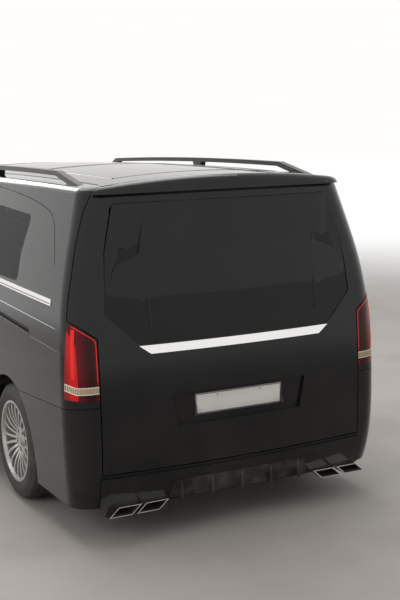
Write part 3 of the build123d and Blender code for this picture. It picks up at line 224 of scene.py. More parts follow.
def band_between(name: str, outer: Sequence[Place], inner: Sequence[Place], cuts: int = 1) -> bpy.types.Object:
    """A flat frame between two loops with as many corners."""
    piece = joined(name, [loop_of("outer", outer), loop_of("inner", inner)])
    pick(piece)
    bpy.ops.object.mode_set(mode="EDIT")
    bpy.ops.mesh.select_mode(type="EDGE")
    bpy.ops.mesh.select_all(action="SELECT")
    bpy.ops.mesh.bridge_edge_loops(number_cuts=cuts)
    bpy.ops.object.mode_set(mode="OBJECT")
    return piece


def extruded(piece: bpy.types.Object, step: Place) -> bpy.types.Object:
    """Extrude a flat face into a closed block."""
    with editing(piece):
        bpy.ops.mesh.extrude_region_move(TRANSFORM_OT_translate={"value": step})
    return face_out(piece)


def mirrored(piece: bpy.types.Object, name: str) -> bpy.types.Object:
    """A copy of a left piece on the right side, with its own mesh."""
    mesh = piece.data.copy()
    mesh.transform(Matrix.Scale(-1, 4, (0, 1, 0)))
    mesh.flip_normals()
    twin = bpy.data.objects.new(name, mesh)
    bpy.context.collection.objects.link(twin)
    return twin


def shifted_copy(piece: bpy.types.Object, name: str, step: Place) -> bpy.types.Object:
    """A copy of a piece, moved, with its own mesh."""
    mesh = piece.data.copy()
    mesh.transform(Matrix.Translation(step))
    twin = bpy.data.objects.new(name, mesh)
    bpy.context.collection.objects.link(twin)
    return twin


def turned_copy(piece: bpy.types.Object, name: str, centre: Place, angle: float) -> bpy.types.Object:
    """A copy of a piece, turned about a line along Y through a centre."""
    mesh = piece.data.copy()
    place = Matrix.Translation(centre)
    mesh.transform(place @ Matrix.Rotation(angle, 4, "Y") @ place.inverted())
    twin = bpy.data.objects.new(name, mesh)
    bpy.context.collection.objects.link(twin)
    return twin


def rounded_loop(corners: Sequence[Point], radius: float, arc_steps: int = 5, run_steps: int = 8) -> list[Point]:
    """Points round an outline whose corners are rounded.

    Args:
        corners: the outline's corners.
        radius: the corner radius.
        arc_steps: pieces that each corner is divided into.
        run_steps: pieces that each straight run is divided into.

    Returns:
        The points, as many for any outline with as many corners.
    """
    ends = []
    count = len(corners)
    for index in range(count):
        here = Vector(corners[index])
        before = (Vector(corners[index - 1]) - here)
        after = (Vector(corners[(index + 1) % count]) - here)
        angle = before.angle(after)
        reach = min(radius / math.tan(angle / 2), before.length * 0.45, after.length * 0.45)
        start = here + before.normalized() * reach
        end = here + after.normalized() * reach
        arc = []
        for step in range(arc_steps + 1):
            share = step / arc_steps
            arc.append((1 - share) ** 2 * start + 2 * share * (1 - share) * here + share**2 * end)
        ends.append(arc)
    points = []
    for index in range(count):
        arc = ends[index]
        points.extend(arc)
        following = ends[(index + 1) % count][0]
        for step in range(1, run_steps):
            points.append(arc[-1].lerp(following, step / run_steps))
    return [(point.x, point.y) for point in points]


class Skin:
    """The vehicle's outside, which thin pieces are laid on."""

    def __init__(self, nodes: Sequence[str]) -> None:
        """Join copies of CAD nodes into one hidden shape."""
        copies = []
        for node in nodes:
            twin = bpy.data.objects.new("skin", frame["nodes"][node].data.copy())
            bpy.context.collection.objects.link(twin)
            copies.append(twin)
        self.shape = joined("skin", copies)

    def height_at(self, origin: Place, direction: Place) -> Vector:
        """Where a line from a point meets the skin."""
        found, point, _, _ = self.shape.ray_cast(Vector(origin), Vector(direction))
        if not found:
            raise ValueError(f"nothing lies along {direction} from {origin}")
        return point

    def remove(self) -> None:
        """Delete the helper shape."""
        bpy.data.objects.remove(self.shape)


# Effects that several finishes share


def new_group(name: str, inputs: Sequence[tuple[str, str, object]], outputs: Sequence[tuple[str, str]]) -> bpy.types.NodeTree:
    """An empty shader node group with named sockets.

    Args:
        name: the group's name.
        inputs: name, kind and default of each input, where kind is Float, Color or Vector.
        outputs: name and kind of each output.
    """
    tree = bpy.data.node_groups.new(name, "ShaderNodeTree")
    for label, kind, value in inputs:
        socket = tree.interface.new_socket(name=label, in_out="INPUT", socket_type=f"NodeSocket{kind}")
        socket.default_value = value
    for label, kind in outputs:
        tree.interface.new_socket(name=label, in_out="OUTPUT", socket_type=f"NodeSocket{kind}")
    tree.nodes.new("NodeGroupInput").name = "in"
    tree.nodes.new("NodeGroupOutput").name = "out"
    return tree


class Wiring:
    """Short ways to add and join shader nodes in one tree."""

    def __init__(self, tree: bpy.types.NodeTree) -> None:
        """Work on one node tree."""
        self.tree = tree

    def node(self, kind: str, **values: object) -> bpy.types.Node:
        """Add a node; values are its properties, or its inputs where the name has a capital or is a number."""
        made = self.tree.nodes.new(f"ShaderNode{kind}")
        for key, value in values.items():
            if key.startswith("in_"):
                self.feed(made.inputs[int(key[3:])], value)
            elif key[0].isupper():
                self.feed(made.inputs[key.replace("_", " ")], value)
            else:
                setattr(made, key, value)
        return made

    def feed(self, socket: bpy.types.NodeSocket, value: object) -> None:
        """Set a socket, or join another socket to it."""
        if isinstance(value, bpy.types.NodeSocket):
            self.tree.links.new(value, socket)
        else:
            socket.default_value = value

    def maths(self, operation: str, *values: object) -> bpy.types.NodeSocket:
        """A Math node's result."""
        made = self.tree.nodes.new("ShaderNodeMath")
        made.operation = operation
        for socket, value in zip(made.inputs, values):
            self.feed(socket, value)
        return made.outputs[0]

    def mixed(self, share: object, first: object, second: object) -> bpy.types.NodeSocket:
        """A colour between two colours."""
        made = self.tree.nodes.new("ShaderNodeMix")
        made.data_type = "RGBA"
        self.feed(made.inputs[0], share)
        self.feed(made.inputs[6], first)
        self.feed(made.inputs[7], second)
        return made.outputs[2]

    def ramp(self, value: object, low: float, high: float, from_low: float = 0.0, from_high: float = 1.0) -> bpy.types.NodeSocket:
        """A value mapped smoothly to a range."""
        made = self.tree.nodes.new("ShaderNodeMapRange")
        made.interpolation_type = "SMOOTHSTEP"
        for socket, number in zip(made.inputs, (value, from_low, from_high, low, high)):
            self.feed(socket, number)
        return made.outputs[0]

    def object_axes(self) -> tuple[bpy.types.NodeSocket, ...]:
        """The Object coordinate, and its X, Y and Z."""
        place = self.node("TexCoord").outputs["Object"]
        split = self.node("SeparateXYZ", Vector=place)
        return place, split.outputs[0], split.outputs[1], split.outputs[2]


def dust_group() -> bpy.types.NodeTree:
    """A thin film of dust and dried water marks, thicker low down."""
    inputs = [("Colour", "Color", (0.5, 0.5, 0.5, 1)), ("Dust", "Color", (0.3, 0.27, 0.24, 1)), ("Amount", "Float", 0.2),
              ("Gloss", "Float", 0.2), ("Low", "Float", 0.1), ("High", "Float", 1.0)]
    tree = new_group("dust film", inputs, [("Colour", "Color"), ("Roughness", "Float")])
    wiring = Wiring(tree)
    given = tree.nodes["in"].outputs
    place, _, _, height = wiring.object_axes()
    cloud = wiring.node("TexNoise", Vector=place, Scale=3.0, Detail=6.0, Roughness=0.62).outputs[0]
    speck = wiring.node("TexNoise", Vector=place, Scale=160.0, Detail=2.0).outputs[0]
    low = wiring.ramp(height, 1.0, 0.25, given["Low"], given["High"])
    amount = wiring.maths("MULTIPLY", wiring.ramp(cloud, 0.15, 1.0, 0.38, 0.72), low)
    amount = wiring.maths("MULTIPLY", amount, given["Amount"])
    amount = wiring.maths("MULTIPLY", amount, wiring.ramp(speck, 0.7, 1.2, 0.3, 0.7))
    out = tree.nodes["out"].inputs
    wiring.feed(out["Colour"], wiring.mixed(amount, given["Colour"], given["Dust"]))
    wiring.feed(out["Roughness"], wiring.maths("ADD", given["Gloss"], wiring.maths("MULTIPLY", amount, 0.5)))
    return tree


def ripple_group() -> bpy.types.NodeTree:
    """The fine waviness of sprayed or moulded surfaces."""
    tree = new_group("ripple", [("Scale", "Float", 200.0), ("Depth", "Float", 1.0)], [("Height", "Float")])
    wiring = Wiring(tree)
    given = tree.nodes["in"].outputs
    place = wiring.object_axes()[0]
    wave = wiring.node("TexNoise", Vector=place, Scale=given["Scale"], Detail=2.0, Roughness=0.4).outputs[0]
    wiring.feed(tree.nodes["out"].inputs["Height"], wiring.maths("MULTIPLY", wave, given["Depth"]))
    return tree


def grain_group() -> bpy.types.NodeTree:
    """The pebbled grain of moulded plastic and leather."""
    inputs = [("Colour", "Color", (0.05, 0.05, 0.05, 1)), ("Scale", "Float", 900.0), ("Gloss", "Float", 0.5)]
    tree = new_group("moulded grain", inputs, [("Colour", "Color"), ("Roughness", "Float"), ("Height", "Float")])
    wiring = Wiring(tree)
    given = tree.nodes["in"].outputs
    place = wiring.object_axes()[0]
    cells = wiring.node("TexVoronoi", Vector=place, Scale=given["Scale"]).outputs["Distance"]
    cloud = wiring.node("TexNoise", Vector=place, Scale=14.0, Detail=5.0).outputs[0]
    pale = wiring.mixed(0.12, given["Colour"], (0.4, 0.39, 0.38, 1))
    out = tree.nodes["out"].inputs
    wiring.feed(out["Colour"], wiring.mixed(wiring.ramp(cloud, 0.0, 1.0, 0.35, 0.75), given["Colour"], pale))
    wiring.feed(out["Roughness"], wiring.maths("ADD", given["Gloss"], wiring.ramp(cloud, -0.06, 0.08, 0.3, 0.7)))
    wiring.feed(out["Height"], cells)
    return tree


def weave_group() -> bpy.types.NodeTree:
    """Woven seat cloth: crossing threads with a fleck."""
    inputs = [("Colour", "Color", (0.05, 0.05, 0.05, 1)), ("Fleck", "Color", (0.1, 0.1, 0.1, 1)), ("Threads", "Float", 900.0)]
    tree = new_group("seat weave", inputs, [("Colour", "Color"), ("Height", "Float")])
    wiring = Wiring(tree)
    given = tree.nodes["in"].outputs
    place, along, across, up = wiring.object_axes()
    rise = wiring.maths("ADD", along, up)
    first = wiring.maths("SINE", wiring.maths("MULTIPLY", rise, given["Threads"]))
    second = wiring.maths("SINE", wiring.maths("MULTIPLY", across, given["Threads"]))
    height = wiring.maths("MULTIPLY", first, second)
    fleck = wiring.node("TexNoise", Vector=place, Scale=500.0, Detail=2.0).outputs[0]
    out = tree.nodes["out"].inputs
    wiring.feed(out["Colour"], wiring.mixed(wiring.ramp(fleck, 0.0, 0.8, 0.5, 0.8), given["Colour"], given["Fleck"]))
    wiring.feed(out["Height"], height)
    return tree


GROUPS: dict[str, Callable[[], bpy.types.NodeTree]] = {
    "dust film": dust_group, "ripple": ripple_group, "moulded grain": grain_group, "seat weave": weave_group,
}


def shared(name: str) -> bpy.types.NodeTree:
    """The shader node group of this name, made when it is first used."""
    return bpy.data.node_groups.get(name) or GROUPS[name]()


# Finishes


@dataclass(frozen=True)
class Finish:
    """A surface finish; its material is made once."""

    name: str
    colour: Colour
    gloss: float = 0.4
    metal: float = 0.0

    def material(self) -> bpy.types.Material:
        """The finish's material, made when it is first used."""
        found = bpy.data.materials.get(self.name)
        if found:
            return found
        made = bpy.data.materials.new(self.name)
        made.use_nodes = True
        made.diffuse_color = (*self.colour, 1)
        shader = made.node_tree.nodes["Principled BSDF"]
        shader.inputs["Base Color"].default_value = (*self.colour, 1)
        shader.inputs["Roughness"].default_value = self.gloss
        shader.inputs["Metallic"].default_value = self.metal
        self.wire(Wiring(made.node_tree), shader)
        return made

    def wire(self, wiring: Wiring, shader: bpy.types.Node) -> None:
        """Add the finish's own nodes."""
        raise NotImplementedError

    def group(self, wiring: Wiring, name: str, **values: object) -> bpy.types.Node:
        """Place a shared group with its own values."""
        made = wiring.tree.nodes.new("ShaderNodeGroup")
        made.node_tree = shared(name)
        for key, value in values.items():
            wiring.feed(made.inputs[key], value)
        return made

    def raise_surface(self, wiring: Wiring, shader: bpy.types.Node, height: object, depth: float) -> None:
        """Feed a height to the shader's normal."""
        bump = wiring.node("Bump", Height=height, Distance=depth, Strength=1.0)
        wiring.feed(shader.inputs["Normal"], bump.outputs[0])

    def dress(self, *pieces: bpy.types.Object) -> None:
        """Give pieces this finish all over."""
        for piece in pieces:
            piece.data.materials.clear()
            piece.data.materials.append(self.material())


@dataclass(frozen=True)
class Paint(Finish):
    """Body paint under clear lacquer, with a film of dust."""

    dust: float = 0.04
    peel: float = 0.00002
    coat: float = 1.0

    def wire(self, wiring: Wiring, shader: bpy.types.Node) -> None:
        """Flakes, dust low down, orange peel and lacquer."""
        place = wiring.object_axes()[0]
        flake = wiring.node("TexNoise", Vector=place, Scale=2600.0, Detail=1.0).outputs[0]
        deep = wiring.mixed(wiring.ramp(flake, 0.0, 1.0, 0.62, 0.8), (*self.colour, 1), tuple(3.2 * c for c in self.colour) + (1,))
        film = self.group(wiring, "dust film", Colour=deep, Dust=(0.30, 0.27, 0.24, 1), Amount=self.dust, Gloss=self.gloss)
        wiring.feed(shader.inputs["Base Color"], film.outputs["Colour"])
        wiring.feed(shader.inputs["Roughness"], film.outputs["Roughness"])
        shader.inputs["Specular IOR Level"].default_value = 0.06
        shader.inputs["Coat Weight"].default_value = self.coat
        shader.inputs["Coat Roughness"].default_value = 0.015
        shader.inputs["Coat IOR"].default_value = 1.34
        ripple = self.group(wiring, "ripple", Scale=70.0, Depth=1.0)
        self.raise_surface(wiring, shader, ripple.outputs[0], self.peel)


@dataclass(frozen=True)
class Plastic(Finish):
    """Grained moulded plastic or rubber."""

    scale: float = 900.0
    depth: float = 0.0002
    dust: float = 0.15

    def wire(self, wiring: Wiring, shader: bpy.types.Node) -> None:
        """Grain, cloudy wear and dust."""
        grain = self.group(wiring, "moulded grain", Colour=(*self.colour, 1), Scale=self.scale, Gloss=self.gloss)
        film = self.group(wiring, "dust film", Colour=grain.outputs["Colour"], Amount=self.dust, Gloss=grain.outputs["Roughness"])
        wiring.feed(shader.inputs["Base Color"], film.outputs["Colour"])
        wiring.feed(shader.inputs["Roughness"], film.outputs["Roughness"])
        shader.inputs["Specular IOR Level"].default_value = 0.22
        self.raise_surface(wiring, shader, grain.outputs["Height"], self.depth)


@dataclass(frozen=True)
class Metal(Finish):
    """Bare, polished, brushed or lacquered metal."""

    ripple: float = 0.00003
    scale: float = 40.0
    dust: float = 0.1

    def wire(self, wiring: Wiring, shader: bpy.types.Node) -> None:
        """Faint waves and dust."""
        film = self.group(wiring, "dust film", Colour=(*self.colour, 1), Amount=self.dust, Gloss=self.gloss, High=0.8)
        wiring.feed(shader.inputs["Base Color"], film.outputs["Colour"])
        wiring.feed(shader.inputs["Roughness"], film.outputs["Roughness"])
        wave = self.group(wiring, "ripple", Scale=self.scale, Depth=1.0)
        self.raise_surface(wiring, shader, wave.outputs[0], self.ripple)


@dataclass(frozen=True)
class Glazing(Finish):
    """Tinted safety glass."""

    def wire(self, wiring: Wiring, shader: bpy.types.Node) -> None:
        """Clear glass with faint wipe marks."""
        shader.inputs["Transmission Weight"].default_value = 1.0
        shader.inputs["IOR"].default_value = 1.33
        place = wiring.object_axes()[0]
        smear = wiring.node("TexNoise", Vector=place, Scale=5.0, Detail=7.0, Roughness=0.7).outputs[0]
        wiring.feed(shader.inputs["Roughness"], wiring.ramp(smear, self.gloss, self.gloss + 0.05, 0.45, 0.85))


@dataclass(frozen=True)
class LampLens(Finish):
    """A tail lamp's moulded lens with its bands of colour, darker towards the middle."""

    band_low: float = 0.803
    band_high: float = 0.842
    bright_y: float = 0.896
    corner_z: float = 1.05

    def wire(self, wiring: Wiring, shader: bpy.types.Node) -> None:
        """Bright red at the corner, a dark core, a clear band that rises outwards, holding painted reflection, and red
        below.
        """
        _, _, across, height = wiring.object_axes()
        spread = wiring.maths("ABSOLUTE", across)
        lean = wiring.maths("MULTIPLY", wiring.maths("MAXIMUM", wiring.maths("SUBTRACT", height, self.corner_z), 0.0), 0.35)
        inside = wiring.maths("SUBTRACT", spread, lean)
        core = wiring.ramp(inside, 1.0, 0.0, self.bright_y - 0.004, self.bright_y + 0.002)
        deep = wiring.mixed(wiring.ramp(spread, 0.0, 1.0, 0.835, 0.893), (0.035, 0.0006, 0.0008, 1), (0.13, 0.001, 0.004, 1))
        rim = wiring.ramp(spread, 1.0, 0.0, 0.795, 0.812)
        deep = wiring.mixed(rim, deep, (0.16, 0.004, 0.003, 1))
        outer = wiring.mixed(wiring.ramp(spread, 0.0, 1.0, 0.922, 0.936), (0.60, 0.010, 0.012, 1), (0.26, 0.020, 0.018, 1))
        colour = wiring.mixed(core, outer, deep)
        flutes = wiring.maths("SINE", wiring.maths("MULTIPLY", height, 1500.0))
        columns = wiring.maths("SINE", wiring.maths("MULTIPLY", spread, 900.0))
        rise = wiring.maths("MULTIPLY", wiring.maths("MAXIMUM", wiring.maths("SUBTRACT", spread, 0.902), 0.0), 0.42)
        level = wiring.maths("SUBTRACT", height, rise)
        in_band = wiring.maths("MULTIPLY", wiring.maths("GREATER_THAN", level, self.band_low),
                               wiring.maths("LESS_THAN", level, self.band_high))
        # The clear band's stripes follow the reflector's facets behind the clear lens; their tan tones and the paler
        # edges are painted reflection of the surroundings.
        clear = wiring.mixed(wiring.ramp(columns, 0.0, 1.0, -1.0, 1.0), (0.24, 0.15, 0.08, 1), (0.62, 0.50, 0.36, 1))
        edges = wiring.maths("ABSOLUTE", wiring.maths("SUBTRACT", level, (self.band_low + self.band_high) / 2))
        clear = wiring.mixed(wiring.ramp(edges, 0.0, 1.0, 0.012, 0.018), clear, (0.80, 0.74, 0.64, 1))
        colour = wiring.mixed(in_band, colour, clear)
        dash = wiring.maths("MULTIPLY", wiring.maths("LESS_THAN", level, self.band_low),
                            wiring.maths("GREATER_THAN", level, self.band_low - 0.008))
        colour = wiring.mixed(wiring.maths("MULTIPLY", dash, core), colour, (0.012, 0.003, 0.003, 1))
        wiring.feed(shader.inputs["Base Color"], colour)
        shader.inputs["Specular IOR Level"].default_value = 0.06
        shader.inputs["Coat Weight"].default_value = 0.8
        shader.inputs["Coat Roughness"].default_value = 0.02
        shader.inputs["Coat IOR"].default_value = 1.28
        wiring.feed(shader.inputs["Roughness"], wiring.ramp(in_band, 0.18, 0.12))
        self.raise_surface(wiring, shader, wiring.maths("MULTIPLY", wiring.maths("ADD", flutes, columns), core), 0.0003)


@dataclass(frozen=True)
class Lens(Finish):
    """A clear or coloured lens with fine flutes."""

    flutes: float = 900.0

    def wire(self, wiring: Wiring, shader: bpy.types.Node) -> None:
        """Fluted, coated plastic, with a painted highlight striped along the flutes."""
        _, _, across, height = wiring.object_axes()
        wave = wiring.maths("SINE", wiring.maths("MULTIPLY", wiring.maths("ADD", across, height), self.flutes))
        second = tuple(min(1.0, 1.5 * c) for c in self.colour) + (1,)
        # Each flute grades to half again as bright: painted highlight along the flutes, beside their bump.
        wiring.feed(shader.inputs["Base Color"], wiring.mixed(wiring.ramp(wave, 0.0, 1.0, -1.0, 1.0), (*self.colour, 1), second))
        shader.inputs["Specular IOR Level"].default_value = 0.1
        shader.inputs["Coat Weight"].default_value = 0.8
        shader.inputs["Coat Roughness"].default_value = 0.02
        shader.inputs["Coat IOR"].default_value = 1.28
        self.raise_surface(wiring, shader, wave, 0.0002)


@dataclass(frozen=True)
class Rubber(Finish):
    """Tyre rubber with tread blocks cut across it, around one wheel's centre."""

    centre: Place = (0.0, 0.0, 0.0)
    blocks: float = 70.0
    tread_radius: float = 0.318

    def wire(self, wiring: Wiring, shader: bpy.types.Node) -> None:
        """Sipes on the tread, mould rings on the sidewall, grey dust."""
        place = wiring.node("TexCoord").outputs["Object"]
        local = wiring.node("Mapping", Vector=place, Location=tuple(-c for c in self.centre))
        split = wiring.node("SeparateXYZ", Vector=local.outputs[0])
        along, across, up = split.outputs
        angle = wiring.maths("ARCTAN2", up, along)
        radius = wiring.maths("SQRT", wiring.maths("ADD", wiring.maths("MULTIPLY", along, along), wiring.maths("MULTIPLY", up, up)))
        lean = wiring.maths("MULTIPLY", wiring.maths("ABSOLUTE", across), 6.0)
        sipe = wiring.maths("SINE", wiring.maths("MULTIPLY", wiring.maths("ADD", angle, lean), self.blocks))
        cut = wiring.ramp(sipe, 0.0, 1.0, -0.95, -0.6)
        tread = wiring.ramp(radius, 0.0, 1.0, self.tread_radius, self.tread_radius + 0.006)
        rings = wiring.maths("SINE", wiring.maths("MULTIPLY", radius, 1400.0))
        side = wiring.maths("MULTIPLY", wiring.ramp(rings, 0.0, 0.12, -1.0, 1.0), wiring.maths("SUBTRACT", 1.0, tread))
        height = wiring.maths("ADD", wiring.maths("MULTIPLY", cut, tread), side)
        grey = wiring.node("TexNoise", Vector=place, Scale=9.0, Detail=7.0, Roughness=0.7).outputs[0]
        dirt = wiring.maths("MULTIPLY", wiring.ramp(grey, 0.05, 0.55, 0.35, 0.75), wiring.ramp(radius, 0.55, 1.0, 0.25, 0.335))
        wiring.feed(shader.inputs["Base Color"], wiring.mixed(dirt, (*self.colour, 1), (0.13, 0.12, 0.11, 1)))
        wiring.feed(shader.inputs["Roughness"], wiring.ramp(grey, self.gloss - 0.06, self.gloss + 0.12))
        self.raise_surface(wiring, shader, height, 0.002)


@dataclass(frozen=True)
class AlloyWheel(Finish):
    """Silver lacquer on the wheel, and turned steel on the brake disc behind it."""

    centre: Place = (0.0, 0.0, 0.0)
    disc_radius: float = 0.17
    disc_face: float = 0.045

    def wire(self, wiring: Wiring, shader: bpy.types.Node) -> None:
        """The disc is told from the wheel by its place about the axle."""
        place = wiring.node("TexCoord").outputs["Object"]
        local = wiring.node("Mapping", Vector=place, Location=tuple(-c for c in self.centre))
        split = wiring.node("SeparateXYZ", Vector=local.outputs[0])
        along, across, up = split.outputs
        radius = wiring.maths("SQRT", wiring.maths("ADD", wiring.maths("MULTIPLY", along, along), wiring.maths("MULTIPLY", up, up)))
        outward = wiring.maths("MULTIPLY", across, 1.0 if self.centre[1] > 0 else -1.0)
        disc = wiring.maths("MULTIPLY", wiring.maths("LESS_THAN", radius, self.disc_radius),
                            wiring.maths("LESS_THAN", outward, self.disc_face))
        bell = wiring.maths("LESS_THAN", radius, 0.094)
        steel = wiring.mixed(bell, (0.42, 0.41, 0.40, 1), (0.20, 0.16, 0.13, 1))
        film = self.group(wiring, "dust film", Colour=(*self.colour, 1), Dust=(0.16, 0.13, 0.11, 1), Amount=0.45, Gloss=self.gloss, High=0.9)
        wiring.feed(shader.inputs["Base Color"], wiring.mixed(disc, film.outputs["Colour"], steel))
        wiring.feed(shader.inputs["Roughness"], wiring.maths("ADD", film.outputs["Roughness"], wiring.maths("MULTIPLY", disc, 0.1)))
        turned = wiring.maths("SINE", wiring.maths("MULTIPLY", radius, 5200.0))
        self.raise_surface(wiring, shader, wiring.maths("MULTIPLY", turned, disc), 0.0001)


@dataclass(frozen=True)
class Cloth(Finish):
    """Woven seat cloth with a soft sheen."""

    threads: float = 1400.0

    def wire(self, wiring: Wiring, shader: bpy.types.Node) -> None:
        """Weave in colour and height."""
        weave = self.group(wiring, "seat weave", Colour=(*self.colour, 1), Fleck=tuple(2.4 * c for c in self.colour) + (1,), Threads=self.threads)
        wiring.feed(shader.inputs["Base Color"], weave.outputs["Colour"])
        shader.inputs["Sheen Weight"].default_value = 0.25
        self.raise_surface(wiring, shader, weave.outputs["Height"], 0.0004)


BLACK_PAINT = Paint("gloss black paint", (0.0055, 0.0055, 0.006), gloss=0.28)
ROOF_BLACK = Paint("roof black paint", (0.006, 0.006, 0.0065), gloss=0.25, dust=0.3, coat=0.72)
PIANO_BLACK = Paint("piano black trim", (0.003, 0.003, 0.003), gloss=0.12, dust=0.04)
# Printed black of the glass borders; on the roof contour line the same dull black is painted shade of its pressed
# groove.
PRINT_AND_SHADE_BLACK = Paint("printed glass border", (0.0035, 0.0035, 0.004), gloss=0.35, dust=0.05, coat=0.1)
PLATE_WHITE = Paint("blank plate white", (0.74, 0.73, 0.70), gloss=0.4, dust=0.2, peel=0.00005)
# Dull black rubber for seals and channels; also laid flat behind the door handles as painted shade of their hollows.
SEAL_AND_SHADE_BLACK = Plastic("rubber seal", (0.008, 0.008, 0.008), gloss=0.6, scale=1500.0, depth=0.0001)
GRAINED_BLACK = Plastic("grained black plastic", (0.018, 0.018, 0.019), gloss=0.52)
CABIN_PLASTIC = Plastic("soft cabin plastic", (0.030, 0.030, 0.032), gloss=0.58, scale=700.0)
UNDERBODY = Plastic("underbody coating", (0.020, 0.020, 0.021), gloss=0.75, scale=160.0, depth=0.0009, dust=0.6)
VALANCE_BLACK = Plastic("satin valance plastic", (0.006, 0.006, 0.0065), gloss=0.42)
SOOT = Plastic("sooty steel", (0.010, 0.009, 0.008), gloss=0.9)
SATIN_RAIL = Metal("dark satin rail", (0.045, 0.041, 0.040), gloss=0.33, metal=0.6, ripple=0.00002)
CHROME = Metal("bright chrome", (0.83, 0.82, 0.80), gloss=0.07, metal=1.0, dust=0.06)
SATIN_STEEL = Metal("stainless pipe", (0.42, 0.39, 0.36), gloss=0.35, metal=1.0, dust=0.5)
CAST_METAL = Metal("cast metal", (0.20, 0.19, 0.18), gloss=0.55, metal=0.9, ripple=0.0008, scale=220.0, dust=0.6)
# A brownish metal strip along the middle of the chrome belt trim: painted shade across the trim's rounded section.
BELT_SHADE = Metal("belt groove", (0.30, 0.26, 0.22), gloss=0.3, metal=0.8)
BOLT_STEEL = Metal("bolt steel", (0.35, 0.34, 0.33), gloss=0.3, metal=1.0)
REFLECTOR = Metal("lamp reflector", (0.78, 0.78, 0.78), gloss=0.12, metal=1.0, ripple=0.0004, scale=120.0, dust=0.0)
DARK_GLASS = Glazing("privacy glass", (0.055, 0.052, 0.048), gloss=0.0)
SIDE_GLASS = Glazing("tinted side glass", (0.66, 0.65, 0.60), gloss=0.0)
CLEAR_GLASS = Glazing("windscreen glass", (0.80, 0.86, 0.83), gloss=0.0)
TAIL_LENS = LampLens("tail lamp lens", (0.6, 0.01, 0.01), gloss=0.15)
BRIGHT_LENS = Lens("bright red lens", (0.80, 0.02, 0.015), gloss=0.12)
RED_LENS = Lens("brake lamp lens", (0.13, 0.002, 0.002), gloss=0.25)
CLEAR_LENS = Lens("clear lens", (0.14, 0.15, 0.16), gloss=0.12)
AMBER_LENS = Lens("amber lens", (0.75, 0.26, 0.02), gloss=0.2)
SEAT_CLOTH = Cloth("dark seat cloth", (0.028, 0.027, 0.027), gloss=0.9)


# The studio around the vehicle


@dataclass(frozen=True)
class StudioFloor(Finish):
    """A pale floor that fades to white some way out."""

    near: float = 5.0
    far: float = 13.0

    def wire(self, wiring: Wiring, shader: bpy.types.Node) -> None:
        """Cloudy matt floor, white to the camera and to reflections further out."""
        place, along, across, _ = wiring.object_axes()
        cloud = wiring.node("TexNoise", Vector=place, Scale=0.9, Detail=8.0, Roughness=0.6).outputs[0]
        grit = wiring.node("TexNoise", Vector=place, Scale=130.0, Detail=3.0).outputs[0]
        second = tuple(0.86 * c for c in self.colour) + (1,)
        tone = wiring.mixed(wiring.ramp(cloud, 0.0, 1.0, 0.35, 0.65), (*self.colour, 1), second)
        wiring.feed(shader.inputs["Base Color"], tone)
        wiring.feed(shader.inputs["Roughness"], wiring.ramp(cloud, self.gloss - 0.08, self.gloss + 0.1))
        self.raise_surface(wiring, shader, grit, 0.0006)
        square = wiring.maths("ADD", wiring.maths("MULTIPLY", along, along), wiring.maths("MULTIPLY", across, across))
        fade = wiring.ramp(wiring.maths("SQRT", square), 0.0, 1.0, self.near, self.far)
        path = wiring.node("LightPath")
        seen = wiring.maths("MAXIMUM", path.outputs["Is Camera Ray"], path.outputs["Is Glossy Ray"])
        seen = wiring.maths("MAXIMUM", seen, path.outputs["Is Transmission Ray"])
        white = wiring.node("Emission", Color=(1, 1, 1, 1), Strength=1.0)
        mix = wiring.node("MixShader", in_0=wiring.maths("MULTIPLY", fade, seen))
        wiring.feed(mix.inputs[1], shader.outputs[0])
        wiring.feed(mix.inputs[2], white.outputs[0])
        wiring.feed(wiring.tree.nodes["Material Output"].inputs[0], mix.outputs[0])


@dataclass
class SoftLamp:
    """A large square lamp that points at the vehicle."""

    name: str
    place: Place
    size: float
    power: float
    aim: Place = (0.0, 0.0, 0.8)
    mirrored_in_paint: bool = True

    def build(self) -> None:
        """Add the lamp."""
        clear_selection()
        bpy.ops.object.light_add(type="AREA", location=self.place)
        lamp = bpy.context.object
        lamp.name = self.name
        lamp.data.shape = "SQUARE"
        lamp.data.size = self.size
        lamp.data.energy = self.power
        lamp.visible_glossy = self.mirrored_in_paint
        lamp.rotation_euler = (Vector(self.aim) - Vector(self.place)).to_track_quat("-Z", "Y").to_euler()


